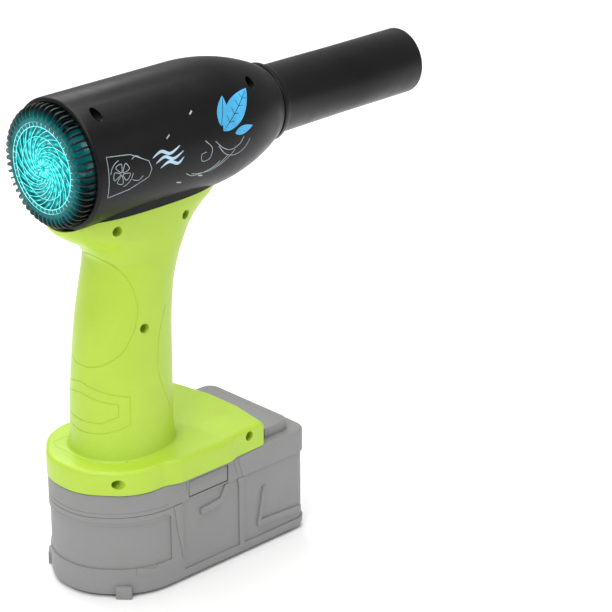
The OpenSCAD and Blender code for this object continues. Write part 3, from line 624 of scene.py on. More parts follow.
def outline(path, steps=12):
    """Closed outline of (x, y, corner radius) points."""
    points = [p[:2] for p in path]
    count = len(path)
    return [q for i in range(count)
            for q in corner(points[i - 1], points[i], points[(i + 1) % count], path[i][2], steps)]


def both_sides(path):
    return path + [(x, -y, r) for x, y, r in reversed(path)]


def edge_arc(start, top, radius, steps=6):
    """Quarter round that starts below the top and runs in towards it."""
    turns = [math.radians(90 / steps * k) for k in range(steps + 1)]
    return [(start + radius * (1 - math.cos(a)), top - radius * (1 - math.sin(a))) for a in turns]


def axis_point(x, radius, angle):
    """Point at a radius and an angle round the barrel's axis."""
    return x, radius * math.cos(angle), AXIS_Z + radius * math.sin(angle)


def axis_circle(x, radius, count=120):
    return [axis_point(x, radius, math.tau * i / count) for i in range(count)]


# --- Shape of the barrel and the handle ----------------------------------------------------------

BARREL_R = BARREL_HIGH.z - AXIS_Z
REAR_X, NOSE_X, SHOULDER_X = BARREL_LOW.x, BARREL_HIGH.x, 18.0
NOSE_R, BARREL_WALL, RIM = 22.2, 2.3, 1.8
NOSE_DROP = BARREL_R - NOSE_R
NOSE_ARC = ((NOSE_X - SHOULDER_X) ** 2 + NOSE_DROP ** 2) / (2 * NOSE_DROP)
FOOT_Z = HANDLE_LOW.z
FOOT_TOP = FOOT_Z + 13.8
CRADLE_TOP = AXIS_Z - 29.2
GRIP_HALF = 24.2
WALL = 2.6
SEAM_Z = COVER_LOW.z
PACK_TOP = FOOT_Z
PACK_HALF = COVER_HIGH.y
PACK_FRONT = COVER_HIGH.x
PACK_WALL = 2.2
BARREL_SCREWS = ((-56.5, AXIS_Z + 28.6, 11), (46.5, AXIS_Z + 22.4, 11))
GRIP_SCREWS = ((-47, AXIS_Z - 36, 12.5), (-0.6, AXIS_Z - 39, 12.5), (-32, FOOT_TOP + 72.7, 12.5))
FOOT_SCREWS = ((-58.5, FOOT_Z + 6.7, 19), (27.3, FOOT_Z + 9.3, 30))
BLADES_Y = (-16, -6, 6, 16)
# Radii of the barrel's mouth and the socket behind it, and of a screw's recess and clearance hole
MOUTH_R, SOCKET_R = 20.5, 22.2
HEAD_WAY_R, SHANK_WAY_R = 2.75, 1.5
TRIGGER_Z = AXIS_Z - 67
GRIP_POINTS = 88
GRIP_TURNS = [math.tau * i / GRIP_POINTS for i in range(GRIP_POINTS)]


def nose_radius(x, inset=0.0):
    return math.sqrt((NOSE_ARC - inset) ** 2 - max(0.0, x - SHOULDER_X) ** 2) - NOSE_ARC + BARREL_R


def nose_line(start, end, inset=0.0, steps=28):
    return [(start + (end - start) * i / steps, nose_radius(start + (end - start) * i / steps, inset))
            for i in range(steps + 1)]


# Share of the handle's height, rear x, front x, share of the half width, squareness
GRIP_ROWS = (
    (0, -60.6, -0.4, 1.11, 2.2),
    (0.065, -59, -1.6, 1.06, 2.15),
    (0.267, -58.2, -0.6, 1.01, 2.1),
    (0.52, -54, -0.3, 0.99, 2.1),
    (0.673, -49.6, 1.9, 0.975, 2.1),
    (0.768, -46.8, 5.9, 0.97, 2.15),
    (0.811, -47.2, 8.7, 0.97, 2.2),
    (0.862, -53.2, 13, 0.975, 2.3),
    (0.898, -61.8, 17.4, 0.985, 2.4),
    (0.935, -68.2, 23.5, 0.99, 2.5),
    (0.971, -70.8, 30.5, 1, 2.6),
    (1, -71.4, 34, 1, 2.7),
)
LAST_ROW = len(GRIP_ROWS) - 1


def between(a, b, c, d, u):
    """Smooth curve through b and c."""
    square, cube = 2 * a - 5 * b + 4 * c - d, 3 * b - a - 3 * c + d
    return 0.5 * (2 * b + (c - a) * u + square * u * u + cube * u ** 3)


def grip_row(t):
    i = min(int(t), LAST_ROW - 1)
    rows = [GRIP_ROWS[min(max(i + k, 0), LAST_ROW)] for k in (-1, 0, 1, 2)]
    return [between(*(row[k] for row in rows), t - i) for k in range(5)]


def grip_height(t):
    return FOOT_TOP - 2 + (CRADLE_TOP - FOOT_TOP + 2) * grip_row(t)[0]


def grip_at(z):
    """The running number of the grip's rows at a height."""
    low, high = 0.0, float(LAST_ROW)
    for _ in range(40):
        mid = (low + high) / 2
        low, high = (mid, high) if grip_height(mid) < z else (low, mid)
    return (low + high) / 2


def grip_point(t, angle, inset=0.0):
    """Point of the grip's outline; the angle starts at the rear and turns towards the right side."""
    _, rear, front, share, power = grip_row(t)
    a, b = (front - rear) / 2 - inset, GRIP_HALF * share - inset
    c, s = math.cos(angle), math.sin(angle)
    reach = (abs(c) ** power + abs(s) ** power) ** (-1 / power)
    return (rear + front) / 2 - a * reach * c, -b * reach * s


def grip_ring(t, z, inset=0.0):
    return [(*grip_point(t, a, inset), z) for a in GRIP_TURNS]


def grip_front(z):
    return grip_point(grip_at(z), math.pi)[0]


def smooth(points, steps=8, closed=False):
    """Smooth line through points."""
    n = len(points)
    if closed:
        get = lambda k: points[k % n]
        spans = range(n)
    else:
        get = lambda k: points[min(max(k, 0), n - 1)]
        spans = range(n - 1)
    made = [tuple(between(a, b, c, d, j / steps)
                  for a, b, c, d in zip(get(i - 1), get(i), get(i + 1), get(i + 2)))
            for i in spans for j in range(steps)]
    return made if closed else made + [tuple(points[-1])]


def filled(points, step=1.5):
    """Straight-sided line with extra points, so that it follows a curved face."""
    made = []
    for a, b in zip(points, points[1:]):
        parts = max(1, math.ceil(math.dist(a, b) / step))
        made += [tuple(p + (q - p) * j / parts for p, q in zip(a, b)) for j in range(parts)]
    return made + [tuple(points[-1])]


# --- Barrel --------------------------------------------------------------------------------------

def screw_cutters(places, depth=60):
    """Recess and clearance hole of each screw, open to the right side."""
    made = []
    for x, z, seat in places:
        made.append(rod("recess", (x, -depth, z), (x, -seat, z), HEAD_WAY_R, 36))
        made.append(rod("clearance", (x, -seat - 1, z), (x, 1, z), SHANK_WAY_R, 24))
    return joined(made, "screw_ways")


def posted(obj, places, radius, keep):
    """Adds the posts that carry the screws, trimmed to the solid that keep() makes."""
    for x, z, _ in places:
        add(obj, combine(rod("boss", (x, -48, z), (x, 48, z), radius, 36), keep(), "INTERSECT"))
    return obj


def barrel_shell():
    rim = edge_arc(REAR_X, BARREL_R, RIM)
    inside = nose_line(REAR_X + 2, NOSE_X - 15, BARREL_WALL, 20)
    nose = nose_line(SHOULDER_X, NOSE_X - 1)
    tip = [(NOSE_X - 0.3, nose_radius(NOSE_X) + 0.25), (NOSE_X, nose_radius(NOSE_X) - 0.3)]
    profile = ([(REAR_X, BARREL_R - BARREL_WALL + 0.15)] + rim + nose + tip
               + [(NOSE_X, MOUTH_R + 0.1), (NOSE_X - 0.3, MOUTH_R), (NOSE_X - 4.9, MOUTH_R),
                  (NOSE_X - 4.9, SOCKET_R), (NOSE_X - 13, SOCKET_R)]
               + [(x, r) for x, r in reversed(inside)])
    return turned("barrel", profile)


class BLOWER_OT_barrel(bpy.types.Operator):
    """Barrel of two halves with a rounded rear rim and a nose that narrows to the nozzle"""

    bl_idname = "blower.barrel"
    bl_label = "Barrel"

    def execute(self, context):
        barrel = barrel_shell()
        skirt = prism("skirt", [grip_point(LAST_ROW, a, 0.3) for a in GRIP_TURNS],
                      CRADLE_TOP + 0.1, CRADLE_TOP + 4.1)
        cut(skirt, block("rear_trim", (REAR_X - 30, -60, 0), (REAR_X + RIM, 60, 300)))
        room = [(REAR_X - 9, BARREL_R - 0.8)] + nose_line(REAR_X, NOSE_X, 0.8)
        cut(skirt, turned_solid("room", room))
        add(barrel, skirt)
        posted(barrel, BARREL_SCREWS, 4.2,
               lambda: turned_solid("keep", nose_line(REAR_X + 1, NOSE_X - 1, 0.6)))
        cut(barrel, screw_cutters(BARREL_SCREWS))
        for side in (RIGHT, LEFT):
            half = halved(copied(barrel, "barrel_half_" + SIDE_NAME[side]), side)
            finished(half, "black", "satin_black", "blower", "barrel_" + SIDE_NAME[side], angle=28)
        bpy.data.objects.remove(barrel, do_unlink=True)
        return {"FINISHED"}


def turned_solid(name, line, steps=120):
    """Solid of revolution under a line of (x, radius) points."""
    return loft(name, [axis_circle(x, r, steps) for x, r in line])


# --- Prints --------------------------------------------------------------------------------------

# Lengths round the barrel are laid out at this radius; ARC is one degree of it
PRINT_R = 35.0
ARC = math.radians(1) * PRINT_R
LINE = 0.34
FAN_X, FAN_S = -53.5, 0.3
LEAVES = (((16, 6), (41, 25), 12.5), ((15, 9), (22, 24), 7), ((24, 3), (38, 4), 4.6))
WAVES = ((-33, 3.4, 19), (-31, 0.1, 19), (-28, -3.2, 16))
TAG = ((-62, 18), (-62, -18), (-48, -16), (-35.5, -9.5), (-33.8, -3), (-35.5, 4.5), (-47, 14.5))
# Open lines as points of (x, length round the barrel) with their width
ARROWS = (
    (((-46.5, 6.2), (-43.5, 7.4), (-40.5, 5.4)), LINE),
    (((-46.5, -4.6), (-42.5, -6), (-39.5, -4.2)), LINE),
)
CURLS = (
    (((3, 4), (7.5, -1), (6, -6.5), (1, -6.8), (0.4, -3), (3.6, -2.2)), LINE),
    (((10, 2), (15.5, -3), (21, -5.2), (27, -3.8), (30.6, -0.4)), LINE),
    (((12, -1), (17, -6.6), (24, -9.2), (31, -7.6), (35.4, -3)), LINE),
    (((-14.5, -15.6), (-11, -16.8)), 0.8),
    (((0.4, -15.6), (3.6, -16.6)), 0.8),
    (((-22, 11), (-19.6, 12.6)), 0.7),
    (((-3, 19.4), (-0.8, 21)), 0.9),
)


def stroke(points, width, steps=6, closed=False, taper=0.0):
    """Outline of a line of even or tapering width through (x, arc length) points."""
    line = smooth(points, steps, closed)
    count = len(line)
    left, right = [], []
    for i, (x, s) in enumerate(line):
        ends = (i - 1, (i + 1) % count) if closed else (max(i - 1, 0), min(i + 1, count - 1))
        a, b = line[ends[0]], line[ends[1]]
        run = Vector((b[0] - a[0], b[1] - a[1])).normalized()
        share = 1.0 if not taper else 1 - taper * abs(2 * i / (count - 1) - 1) ** 2.2
        half = width / 2 * share
        left.append((x - run.y * half, s + run.x * half))
        right.append((x + run.y * half, s - run.x * half))
    if closed:
        return left, right
    return left + right[::-1]


def printed(name, outlines, finish, slot):
    """Thin ink on the barrel's right side: outlines in (x, arc length), wrapped round the barrel."""
    lift = sizes().print_lift / MM
    made = []
    for shape in outlines:
        if isinstance(shape, tuple):
            left, right = shape
            flat = ring_strip("line", left, right)
        else:
            flat = ring_of("shape", [(x, s, 0) for x, s in shape])
            edit(flat, (bpy.ops.mesh.edge_face_add, {}))
        made.append(flat)
    obj = joined(made, name)
    pick(obj)
    low = [min(v.co[k] for v in obj.data.vertices) / MM for k in (0, 1)]
    high = [max(v.co[k] for v in obj.data.vertices) / MM for k in (0, 1)]
    bpy.ops.object.mode_set(mode="EDIT")
    for k, step in ((0, 3.0), (1, 2.0)):
        at = math.ceil(low[k] / step) * step
        while at < high[k]:
            bpy.ops.mesh.select_all(action="SELECT")
            co, no = [0, 0, 0], [0, 0, 0]
            co[k], no[k] = at * MM, 1
            bpy.ops.mesh.bisect(plane_co=co, plane_no=no)
            at += step
    bpy.ops.mesh.select_all(action="SELECT")
    bpy.ops.mesh.quads_convert_to_tris()
    bpy.ops.mesh.extrude_region_move(TRANSFORM_OT_translate={"value": (0, 0, lift * MM)})
    bpy.ops.object.mode_set(mode="OBJECT")
    wrapped = []
    for v in obj.data.vertices:
        x, s, h = v.co / MM
        radius, angle = nose_radius(x) - 0.04 + h, s / PRINT_R
        wrapped.append((x, -radius * math.cos(angle), AXIS_Z + radius * math.sin(angle)))
    place(obj, wrapped)
    merged(obj, FLAT_WELD)
    return finished(obj, finish, slot, "blower", angle=40)


def ring_strip(name, left, right):
    """Flat closed band between two loops of the same count."""
    n = len(left)
    deselect()
    bpy.ops.mesh.primitive_grid_add(x_subdivisions=n, y_subdivisions=1, size=0.01)
    obj = named(name)
    place(obj, [(x, s, 0) for x, s in left + [left[0]]] + [(x, s, 0) for x, s in right + [right[0]]])
    return merged(obj, FLAT_WELD)


def fan_point(radius, angle):
    """Point round the middle of the printed fan."""
    return FAN_X + radius * math.cos(angle), FAN_S + radius * math.sin(angle)


def leaf_outline(base, tip, width, steps=14):
    """Pointed leaf between two points."""
    base, tip = Vector(base), Vector(tip)
    run = tip - base
    side = Vector((-run.y, run.x)).normalized()
    share = [i / steps for i in range(steps + 1)]
    swell = lambda t: width / 2 * math.sin(math.pi * t ** 0.8) ** 0.9 if 0 < t < 1 else 0.0
    upper = [tuple(base + run * t + side * swell(t)) for t in share]
    lower = [tuple(base + run * t - side * swell(t)) for t in reversed(share[1:-1])]
    return upper + lower


class BLOWER_OT_prints(bpy.types.Operator):
    """Generic leaf, wind and fan prints on the barrel's right side"""

    bl_idname = "blower.prints"
    bl_label = "Prints"

    def execute(self, context):
        printed("print_leaves", [leaf_outline(*leaf) for leaf in LEAVES], "blue_ink", "satin_black")
        waves = [stroke([(x, s), (x + 6, s + 2.2), (x + 12, s - 0.2), (x + run, s + 2.4)], 1.7,
                        taper=0.9) for x, s, run in WAVES]
        printed("print_waves", waves, "pale_ink", "satin_black")
        tag = [(x, degrees * ARC) for x, degrees in TAG]
        lines = [stroke(filled(tag + [tag[0]], 3)[:-1], LINE, 1, True)]
        for k in range(5):
            a = math.radians(72 * k + 18)
            b = a + 0.75
            vane = [fan_point(1.3, a), fan_point(5.2, a), fan_point(5.6, b), fan_point(1.4, b)]
            lines.append(stroke(vane, LINE, 5, True))
        lines += [stroke([fan_point(7.4, math.radians(start + 7 * i)) for i in range(11)], LINE)
                  for start in (100, -80)]
        lines += [stroke(points, width) for points, width in ARROWS]
        lines += [stroke([(-9 + 4 * k, -11.6 - 1.2 * k), (-3 + 6 * k, -14.6),
                          (8 + 5 * k, -13.6 + 1.4 * k), (14 + 5 * k, -10 + 2 * k)], LINE) for k in range(3)]
        lines += [stroke(points, width) for points, width in CURLS]
        printed("print_lines", lines, "grey_ink", "satin_black")
        veins = [stroke([(16.5, 6.4), (28, 14.6), (39.5, 23.8)], 0.4, taper=0.5),
                 stroke([(15.2, 9.4), (21.4, 22.6)], LINE)]
        for x, s, run, rise in ((24.5, 9.4, 4.4, 3.4), (20.6, 13.4, 4.4, 3.2)):
            veins += [stroke([(21 + 4.6 * k, 9.6 + 3.4 * k), (x + run * k, s + rise * k)], 0.3)
                      for k in range(4)]
        printed("print_veins", veins, "black", "satin_black")
        return {"FINISHED"}


# --- Nozzle --------------------------------------------------------------------------------------

THREAD_ROOT, THREAD_CREST, THREAD_PITCH = 19.3, 20.2, 3.2
# Collar as (x past its step, radius)
COLLAR = ((-0.3, THREAD_ROOT), (-0.3, 19.1), (0, 19.1), (0, 21.6), (0.3, 21.9), (2.7, 21.75),
          (3.2, 21.5), (4.2, 20.6), (5.4, 19.7), (6.8, 19.1))


class BLOWER_OT_nozzle(bpy.types.Operator):
    """Straight screw-on nozzle with its collar, thread and seal"""

    bl_idname = "blower.nozzle"
    bl_label = "Nozzle and seal"

    def execute(self, context):
        x0, x1 = NOZZLE_LOW.x, NOZZLE_HIGH.x
        step = NOSE_X + 1.8
        root, crest, tube, bore = THREAD_ROOT, THREAD_CREST, 18.6, 16.8
        profile = [(x0, root - 0.4), (x0 + 0.4, root)]
        ridge = NOSE_X - 8.0
        while ridge < NOSE_X - 1.6:
            profile += [(ridge - 0.9, root), (ridge - 0.35, crest), (ridge + 0.35, crest),
                        (ridge + 0.9, root)]
            ridge += THREAD_PITCH
        profile += [(step + x, radius) for x, radius in COLLAR]
        profile += [(x1 - 50, tube), (x1 - 0.5, tube), (x1 - 0.15, tube - 0.15), (x1, tube - 0.5),
                    (x1, bore + 0.4), (x1 - 0.3, bore), (x0 + 0.3, bore), (x0, bore + 0.3)]
        nozzle = turned("nozzle", profile, 192)
        finished(nozzle, "black", "satin_black", "nozzle", "nozzle_tube", angle=25)
        low, high = corner_box("nozzle_seal")
        seal = [(low.x, 19.7), (low.x, 21.2), (low.x + 0.3, 21.5), (high.x - 0.3, 21.5), (high.x, 21.2),
                (high.x, 19.7)]
        seal = turned("nozzle_ring", seal)
        finished(seal, "rubber", "seal_rubber", "nozzle_carrier", "nozzle_seal", angle=40)
        return {"FINISHED"}


# --- Intake --------------------------------------------------------------------------------------

def round_the_axis(piece, count, name, start=0.0):
    """Copies of a piece spread round the barrel's axis, joined into one."""
    made = []
    for i in range(count):
        part = copied(piece, "part")
        part.data.transform(Matrix.Translation((0, 0, AXIS_Z * MM))
                            @ Matrix.Rotation(math.tau * (i + start) / count, 4, "X")
                            @ Matrix.Translation((0, 0, -AXIS_Z * MM)))
        made.append(part)
    bpy.data.objects.remove(piece, do_unlink=True)
    return joined(made, name)


class BLOWER_OT_intake(bpy.types.Operator):
    """Rear intake grille: thin ribs that run along the side and round over into the rear face"""

    bl_idname = "blower.intake"
    bl_label = "Intake grille"

    def execute(self, context):
        x0, x1 = GRILLE_LOW.x, GRILLE_HIGH.x
        outer = GRILLE_HIGH.z - AXIS_Z
        ring = 25.5
        rib = sizes().rib / MM
        path = outline([(x0, ring - 1, 0.3), (x0, outer, 5), (x1 - 1, outer, 0),
                        (x1 - 1, outer - 2.4, 0), (x0 + 2.4, outer - 2.4, 2.6), (x0 + 2.4, ring - 1, 0)], 7)
        one = prism("rib", [(x, AXIS_Z + r) for x, r in path], -rib / 2, rib / 2, "y")
        rounded(one, 0.22, 50)
        ribs = round_the_axis(one, 52, "ribs", 0.5)
        band = turned("band", [(REAR_X + 1, outer - 2.6), (REAR_X + 1, outer - 0.3),
                               (REAR_X + 1.3, outer), (x1, outer), (x1, outer - 2.6)])
        lip = turned("lip", [(x0 + 2.6, ring - 1.4), (x0 + 0.3, ring - 1.4), (x0, ring - 1.1),
                             (x0, ring + 0.5), (x0 + 0.3, ring + 0.8), (x0 + 2.6, ring + 0.8)])
        grille = joined([ribs, band, lip], "intake_ribs")
        finished(grille, "grille", "black_grille", "blower", "intake_grille", angle=35)
        return {"FINISHED"}


HUB_R = 5.0
ARMS, SPOKES, PETALS = 16, 44, 12


def spiral(radius, offset):
    """(y, z) of a point on a spiral arm, turned by offset degrees."""
    return axis_point(0, radius, math.radians(78 * math.log(radius / HUB_R) + offset))[1:]


class BLOWER_OT_swirl(bpy.types.Operator):
    """Swirl guard with a painted glow on its spiral arms, hub flower and bright rings"""

    bl_idname = "blower.swirl"
    bl_label = "Swirl guard"

    def execute(self, context):
        x0, x1 = GUARD_LOW.x, GUARD_HIGH.x
        outer = GUARD_HIGH.z - AXIS_Z
        inner = outer - 2.1
        radii = [HUB_R - 0.5 + (inner - HUB_R + 0.9) * i / 16 for i in range(17)]
        arm = [spiral(r, -44 / (r + 3)) for r in radii]
        arm += [spiral(r, 44 / (r + 3)) for r in reversed(radii)]
        one = rounded(prism("arm", arm, x0 + 0.15, x1, "x"), 0.2, 40)
        arms = round_the_axis(one, ARMS, "arms")
        rim = turned("rim", [(x0 + 0.3, inner), (x0, inner + 0.3), (x0, outer - 0.3), (x0 + 0.3, outer),
                             (x1, outer), (x1, inner)])
        middle = turned("hub", [(x0 + 0.5, 1.4), (x0 + 0.1, 2.0), (x0, 3.4), (x0 + 0.2, 4.8),
                                (x0 + 0.6, 5.2), (x1, 5.2), (x1, 1.4)], 48)
        guard = joined([arms, middle], "swirl_arms")
        finished(guard, "glow", "teal_glow", "blower", "swirl_guard", angle=30)
        finished(renamed(rim, "swirl_rim"), "glow_deep", "teal_glow", "blower", angle=30)
        # Plate behind the arms that carries a painted glow.
        back = turned("back", [(x1 + 0.4, 1.0), (x1 + 0.4, inner + 0.6), (x1 + 0.9, inner + 0.6),
                               (x1 + 0.9, 1.0)])
        finished(renamed(back, "swirl_light_plate"), "glow_deep", "teal_glow", "blower", angle=30)
        # Bright lines on the guard's face, with a painted glow.
        face = x0 - 0.02
        reach = [6 + (inner - 6.4) * i / 18 for i in range(19)]
        lines = [cord_line("line", [(face, *spiral(r, 360 / ARMS * (k + 0.5))) for r in reach], 0.15,
                           sides=2) for k in range(ARMS)]
        for radius, thick in ((inner - 0.2, 0.2), (outer + 0.2, 0.24), (16.5, 0.12)):
            lines.append(cord_line("ring", axis_circle(face, radius), thick, True, 2))
        for k in range(SPOKES):
            spoke = [axis_point(face, r, math.tau * k / SPOKES) for r in (inner, outer)]
            lines.append(cord_line("spoke", spoke, 0.12, sides=1))
        for k in range(PETALS):
            a = math.tau * k / PETALS
            petal = [axis_point(x0, 2.0, a), axis_point(x0 - 0.05, 4.6, a + 0.12)]
            lines.append(cord_line("petal", petal, 0.2, sides=2))
        finished(joined(lines, "swirl_lines"), "glow_line", "teal_glow", "blower", angle=50)
        return {"FINISHED"}


# --- Handle --------------------------------------------------------------------------------------

FOOT_REAR, FOOT_FRONT, FOOT_HALF = -73.0, 44.0, 41.4
FOOT_SIDE = FOOT_HALF - 3.2
FOOT_ROUND = 2.6
WEB_HALF = 28.3
NECK_HALF = 24.0
LIP_TOP = FOOT_Z + 2 - 0.3
BLOCK_TOP = COVER_HIGH.z


def foot_path(i):
    return both_sides([
        (FOOT_REAR + i, -13 + i / 2, 30), (-52 + i / 2, -FOOT_SIDE + i, 30), (-34, -FOOT_SIDE + i, 8),
        (-24, -FOOT_HALF + i, 8), (12, -FOOT_HALF + i, 4), (17.5, -FOOT_SIDE - 1.2 + i, 4),
        (FOOT_FRONT - 4.5 - i, -FOOT_SIDE - 0.2 + i, 2.6), (FOOT_FRONT - i, -12 + i / 2, 16)])


def lifted(points, z):
    return [(x, y, z) for x, y in points]


def grip_body():
    fillet = sizes().foot_fillet / MM
    flare = [grip_ring(0.5, FOOT_TOP + fillet * (1 - math.cos(a)) - 0.05, -fillet * (1 - math.sin(a)))
             for a in (math.radians(10 * k) for k in range(9))]
    rows = [k / 8 for k in range(8, 8 * LAST_ROW + 1)]
    return loft("grip", flare + [grip_ring(t, grip_height(t)) for t in rows])


def grip_room():
    rows = [k / 4 for k in range(2, 4 * LAST_ROW + 1)]
    rings = [grip_ring(0, FOOT_TOP - 6, WALL)] + [grip_ring(t, grip_height(t), WALL) for t in rows]
    return loft("grip_room", rings + [grip_ring(LAST_ROW, CRADLE_TOP + 2, WALL)])


def foot_body():
    rows = [(0.25, FOOT_Z), (0, FOOT_Z + 0.25)] + edge_arc(0, FOOT_TOP, FOOT_ROUND)
    return loft("foot", [lifted(outline(foot_path(inset)), z) for inset, z in rows])


def foot_room():
    room = prism("foot_room", outline(foot_path(WALL)), FOOT_Z - 1, FOOT_TOP - 2.4)
    for side in (RIGHT, LEFT):
        x = (-38.5, FOOT_FRONT)
        cut(room, side_block("web", side, x, (WEB_HALF, WEB_HALF + 2.2), (FOOT_Z - 2, FOOT_TOP)))
        cut(room, side_block("rail", side, x, (NECK_HALF + 0.3, WEB_HALF + 0.1), (FOOT_Z - 2, LIP_TOP)))
    return room


# Grooves of the grip as (degrees from the rear, height over the ground)
PALM_GROOVE = ((0, 188), (28, 184.4), (51, 176), (66, 163), (67, 150.5), (55, 137.7), (36, 130.7),
               (15, 127.8), (0, 127.5))
OUTER_CHEVRON = ((0, 118.5), (64, 111.4), (63.6, 95.6), (49, 93.1), (32, 91.2), (0, 90))
INNER_CHEVRON = ((0, 112.4), (51, 107.8), (51, 101), (30, 96.9), (0, 96.6))
FINGER_GROOVE = ((111, 156.3), (105, 149), (100.6, 139.8), (99.3, 125.3), (102.7, 116.8), (110, 108),
                 (122, 97.4))


def grip_groove(name, line, radius, closed):
    """Round line that follows the grip's surface."""
    points = []
    for degrees, z in line:
        t = grip_at(z)
        x, y = grip_point(t, math.radians(degrees), -0.1)
        points.append((x, y, z))
    return cord_line(name, points, radius, closed)


def grip_grooves():
    radius = sizes().groove / MM / 2
    made = []
    for name, line in (("palm", smooth(PALM_GROOVE, 6)), ("outer", filled(OUTER_CHEVRON, 3)),
                       ("inner", filled(INNER_CHEVRON, 3))):
        made.append(grip_groove(name, line + [(-a, z) for a, z in reversed(line[1:-1])], radius, True))
    for side in (1, -1):
        line = [(side * a, z) for a, z in smooth(FINGER_GROOVE, 6)]
        made.append(grip_groove("finger", line, radius, False))
    return made


def foot_details():
    """Fine seam of the side clip and the outline of the rear panel."""
    made = []
    for side in (RIGHT, LEFT):
        y = side * (FOOT_HALF + 0.1)
        seam = [(12.4, y, FOOT_Z - 1), (12.4, y, FOOT_TOP - 3),
                (12.2, side * (FOOT_HALF - 3.2), FOOT_TOP + 0.1)]
        made.append(cord_line("seam", seam, 0.28))
    rear = [(-46.5, -23.5), (-58.5, -23.5), (-61.5, -19), (-61.5, 19), (-58.5, 23.5), (-46.5, 23.5)]
    return made + [cord_line("panel", lifted(rear, FOOT_TOP + 0.12), 0.3)]


class BLOWER_OT_handle(bpy.types.Operator):
    """Two green handle halves with grip grooves, foot, rails for the pack and screw recesses"""

    bl_idname = "blower.handle"
    bl_label = "Handle"

    def execute(self, context):
        handle = renamed(add(grip_body(), foot_body()), "handle")
        for groove in grip_grooves() + foot_details():
            cut(handle, groove)
        cut(handle, grip_room(), foot_room())
        mouth, neck, top = FOOT_FRONT + 5, NECK_HALF + 0.3, BLOCK_TOP + 0.3
        cut(handle, block("flange_way", (0, -WEB_HALF, LIP_TOP), (mouth, WEB_HALF, top)),
            block("neck_way", (0, -neck, FOOT_Z - 1), (mouth, neck, top)))
        rows = [t / 4 for t in range(4, 4 * LAST_ROW + 1)]
        posted(handle, GRIP_SCREWS, 4.0,
               lambda: loft("keep", [grip_ring(t, grip_height(t), 0.5) for t in rows]))
        posted(handle, FOOT_SCREWS, 3.8,
               lambda: prism("keep", outline(foot_path(0.5)), FOOT_Z + 0.3, FOOT_TOP - 0.6))
        barrel_line = [(REAR_X - 20, BARREL_R + 0.1)] + nose_line(SHOULDER_X, NOSE_X, -0.1)
        cut(handle, block("blade_room", (-52, -21.5, FOOT_Z + 0.7), (-38, 21.5, FOOT_Z + 9.2)))
        cut(handle, turned_solid("barrel_room", barrel_line), trigger_block("trigger_way", 0.3, 20),
            screw_cutters(GRIP_SCREWS + FOOT_SCREWS))
        for side in (RIGHT, LEFT):
            half = halved(copied(handle, "handle_half_" + SIDE_NAME[side]), side)
            finished(half, "lime", "lime_plastic", "blower", "handle_" + SIDE_NAME[side], angle=30)
        bpy.data.objects.remove(handle, do_unlink=True)
        return {"FINISHED"}


def trigger_block(name, grow=0.0, reach=0.0):
    """Block behind the grip's front line."""
    half_high, half = 12 + grow, 8 + grow
    levels = [TRIGGER_Z - half_high + half_high * 2 * i / 10 for i in range(11)]
    back = 6 + (4 if grow else 0) + grow
    path = ([(grip_front(z) + 0.75 + reach, z) for z in levels]
            + [(grip_front(z) - back, z) for z in reversed(levels)])
    return prism(name, path, -half, half, "y")


class BLOWER_OT_trigger(bpy.types.Operator):
    """Flush trigger in the front of the grip, with grip ridges"""

    bl_idname = "blower.trigger"
    bl_label = "Trigger"

    def execute(self, context):
        button = rounded(trigger_block("trigger_button"), 0.7, 60, 3)
        for k in range(5):
            z = TRIGGER_Z + 4 * (k - 2)
            x = grip_front(z) + 0.85
            cut(button, rod("ridge", (x, -5.4, z), (x, 5.4, z), 0.45, 20))
        stem_end = grip_front(TRIGGER_Z) - 4
        add(button, rod("stem", (TRIGGER_LOW.x, 0, TRIGGER_Z), (stem_end, 0, TRIGGER_Z), 2.0, 40))
        finished(button, "grille", "black_grille", "trigger", "trigger", angle=30)
        return {"FINISHED"}


# --- Battery pack --------------------------------------------------------------------------------

def pack_path(i):
    return both_sides([(-PACK_FRONT + i, -13 + i / 2, 31), (-50.5 + i / 2, -PACK_HALF + i, 40),
                       (PACK_FRONT - i, -PACK_HALF + i, 9)])


# Fields sunk into the pack's long sides as (x, z) corners, and ledges that stand proud of them
SUNK_FIELDS = (
    ((-22.5, 60), (15.6, 60), (19.2, 44), (19.2, 7), (-21.2, 7)),
    ((23, 60), (80, 60), (80, 7), (23, 7)),
)
FIELD_DEPTH = 0.8
LEDGES = (
    ((-28.2, 47.8), (-23.6, 47.8), (-21.8, 30), (-21.8, 15), (-22.6, 15), (-26.4, 34)),
    ((-9.1, 36.0), (6.9, 37.6), (11.8, 47.8), (9.0, 47.8), (5.2, 41.0), (-9.1, 39.4)),
    ((32.9, 13.4), (66, 11.8), (66, 15.0), (32.9, 16.8)),
    ((32.9, 16.8), (35.2, 16.6), (39.2, 36.5), (37.2, 36.5)),
    ((-51.6, 13.4), (-40.4, 11.2), (-33.4, 21.6), (-36.6, 22.4), (-41.6, 15.2), (-51.6, 17.4)),
)


def pack_slab(name, inset, low=-1.0, high=70.0):
    return prism(name, outline(pack_path(inset)), low, high)


def side_way(name, points, side):
    y0, y1 = sorted((side * 20.0, side * (PACK_HALF + 3)))
    return prism(name, points, y0, y1, "y")


def side_field(name, points, depth, side):
    """Cutter that sinks an outline in (x, z) into the pack's side."""
    return cut(side_way(name, points, side), pack_slab("inner", depth))


def side_ledge(name, points, side, proud=0.35):
    """Ledge that follows the pack's outline."""
    ledge = combine(side_way(name, points, side), pack_slab("outer", -proud), "INTERSECT")
    return cut(ledge, pack_slab("inner", 1.0))


def rear_band(low, high, depth):
    """Cutter for a shallow band round the pack's rear."""
    band = cut(pack_slab("band", -2, low, high), pack_slab("inner", depth))
    return cut(band, block("front", (-30.5, -60, 0), (90, 60, 80)))


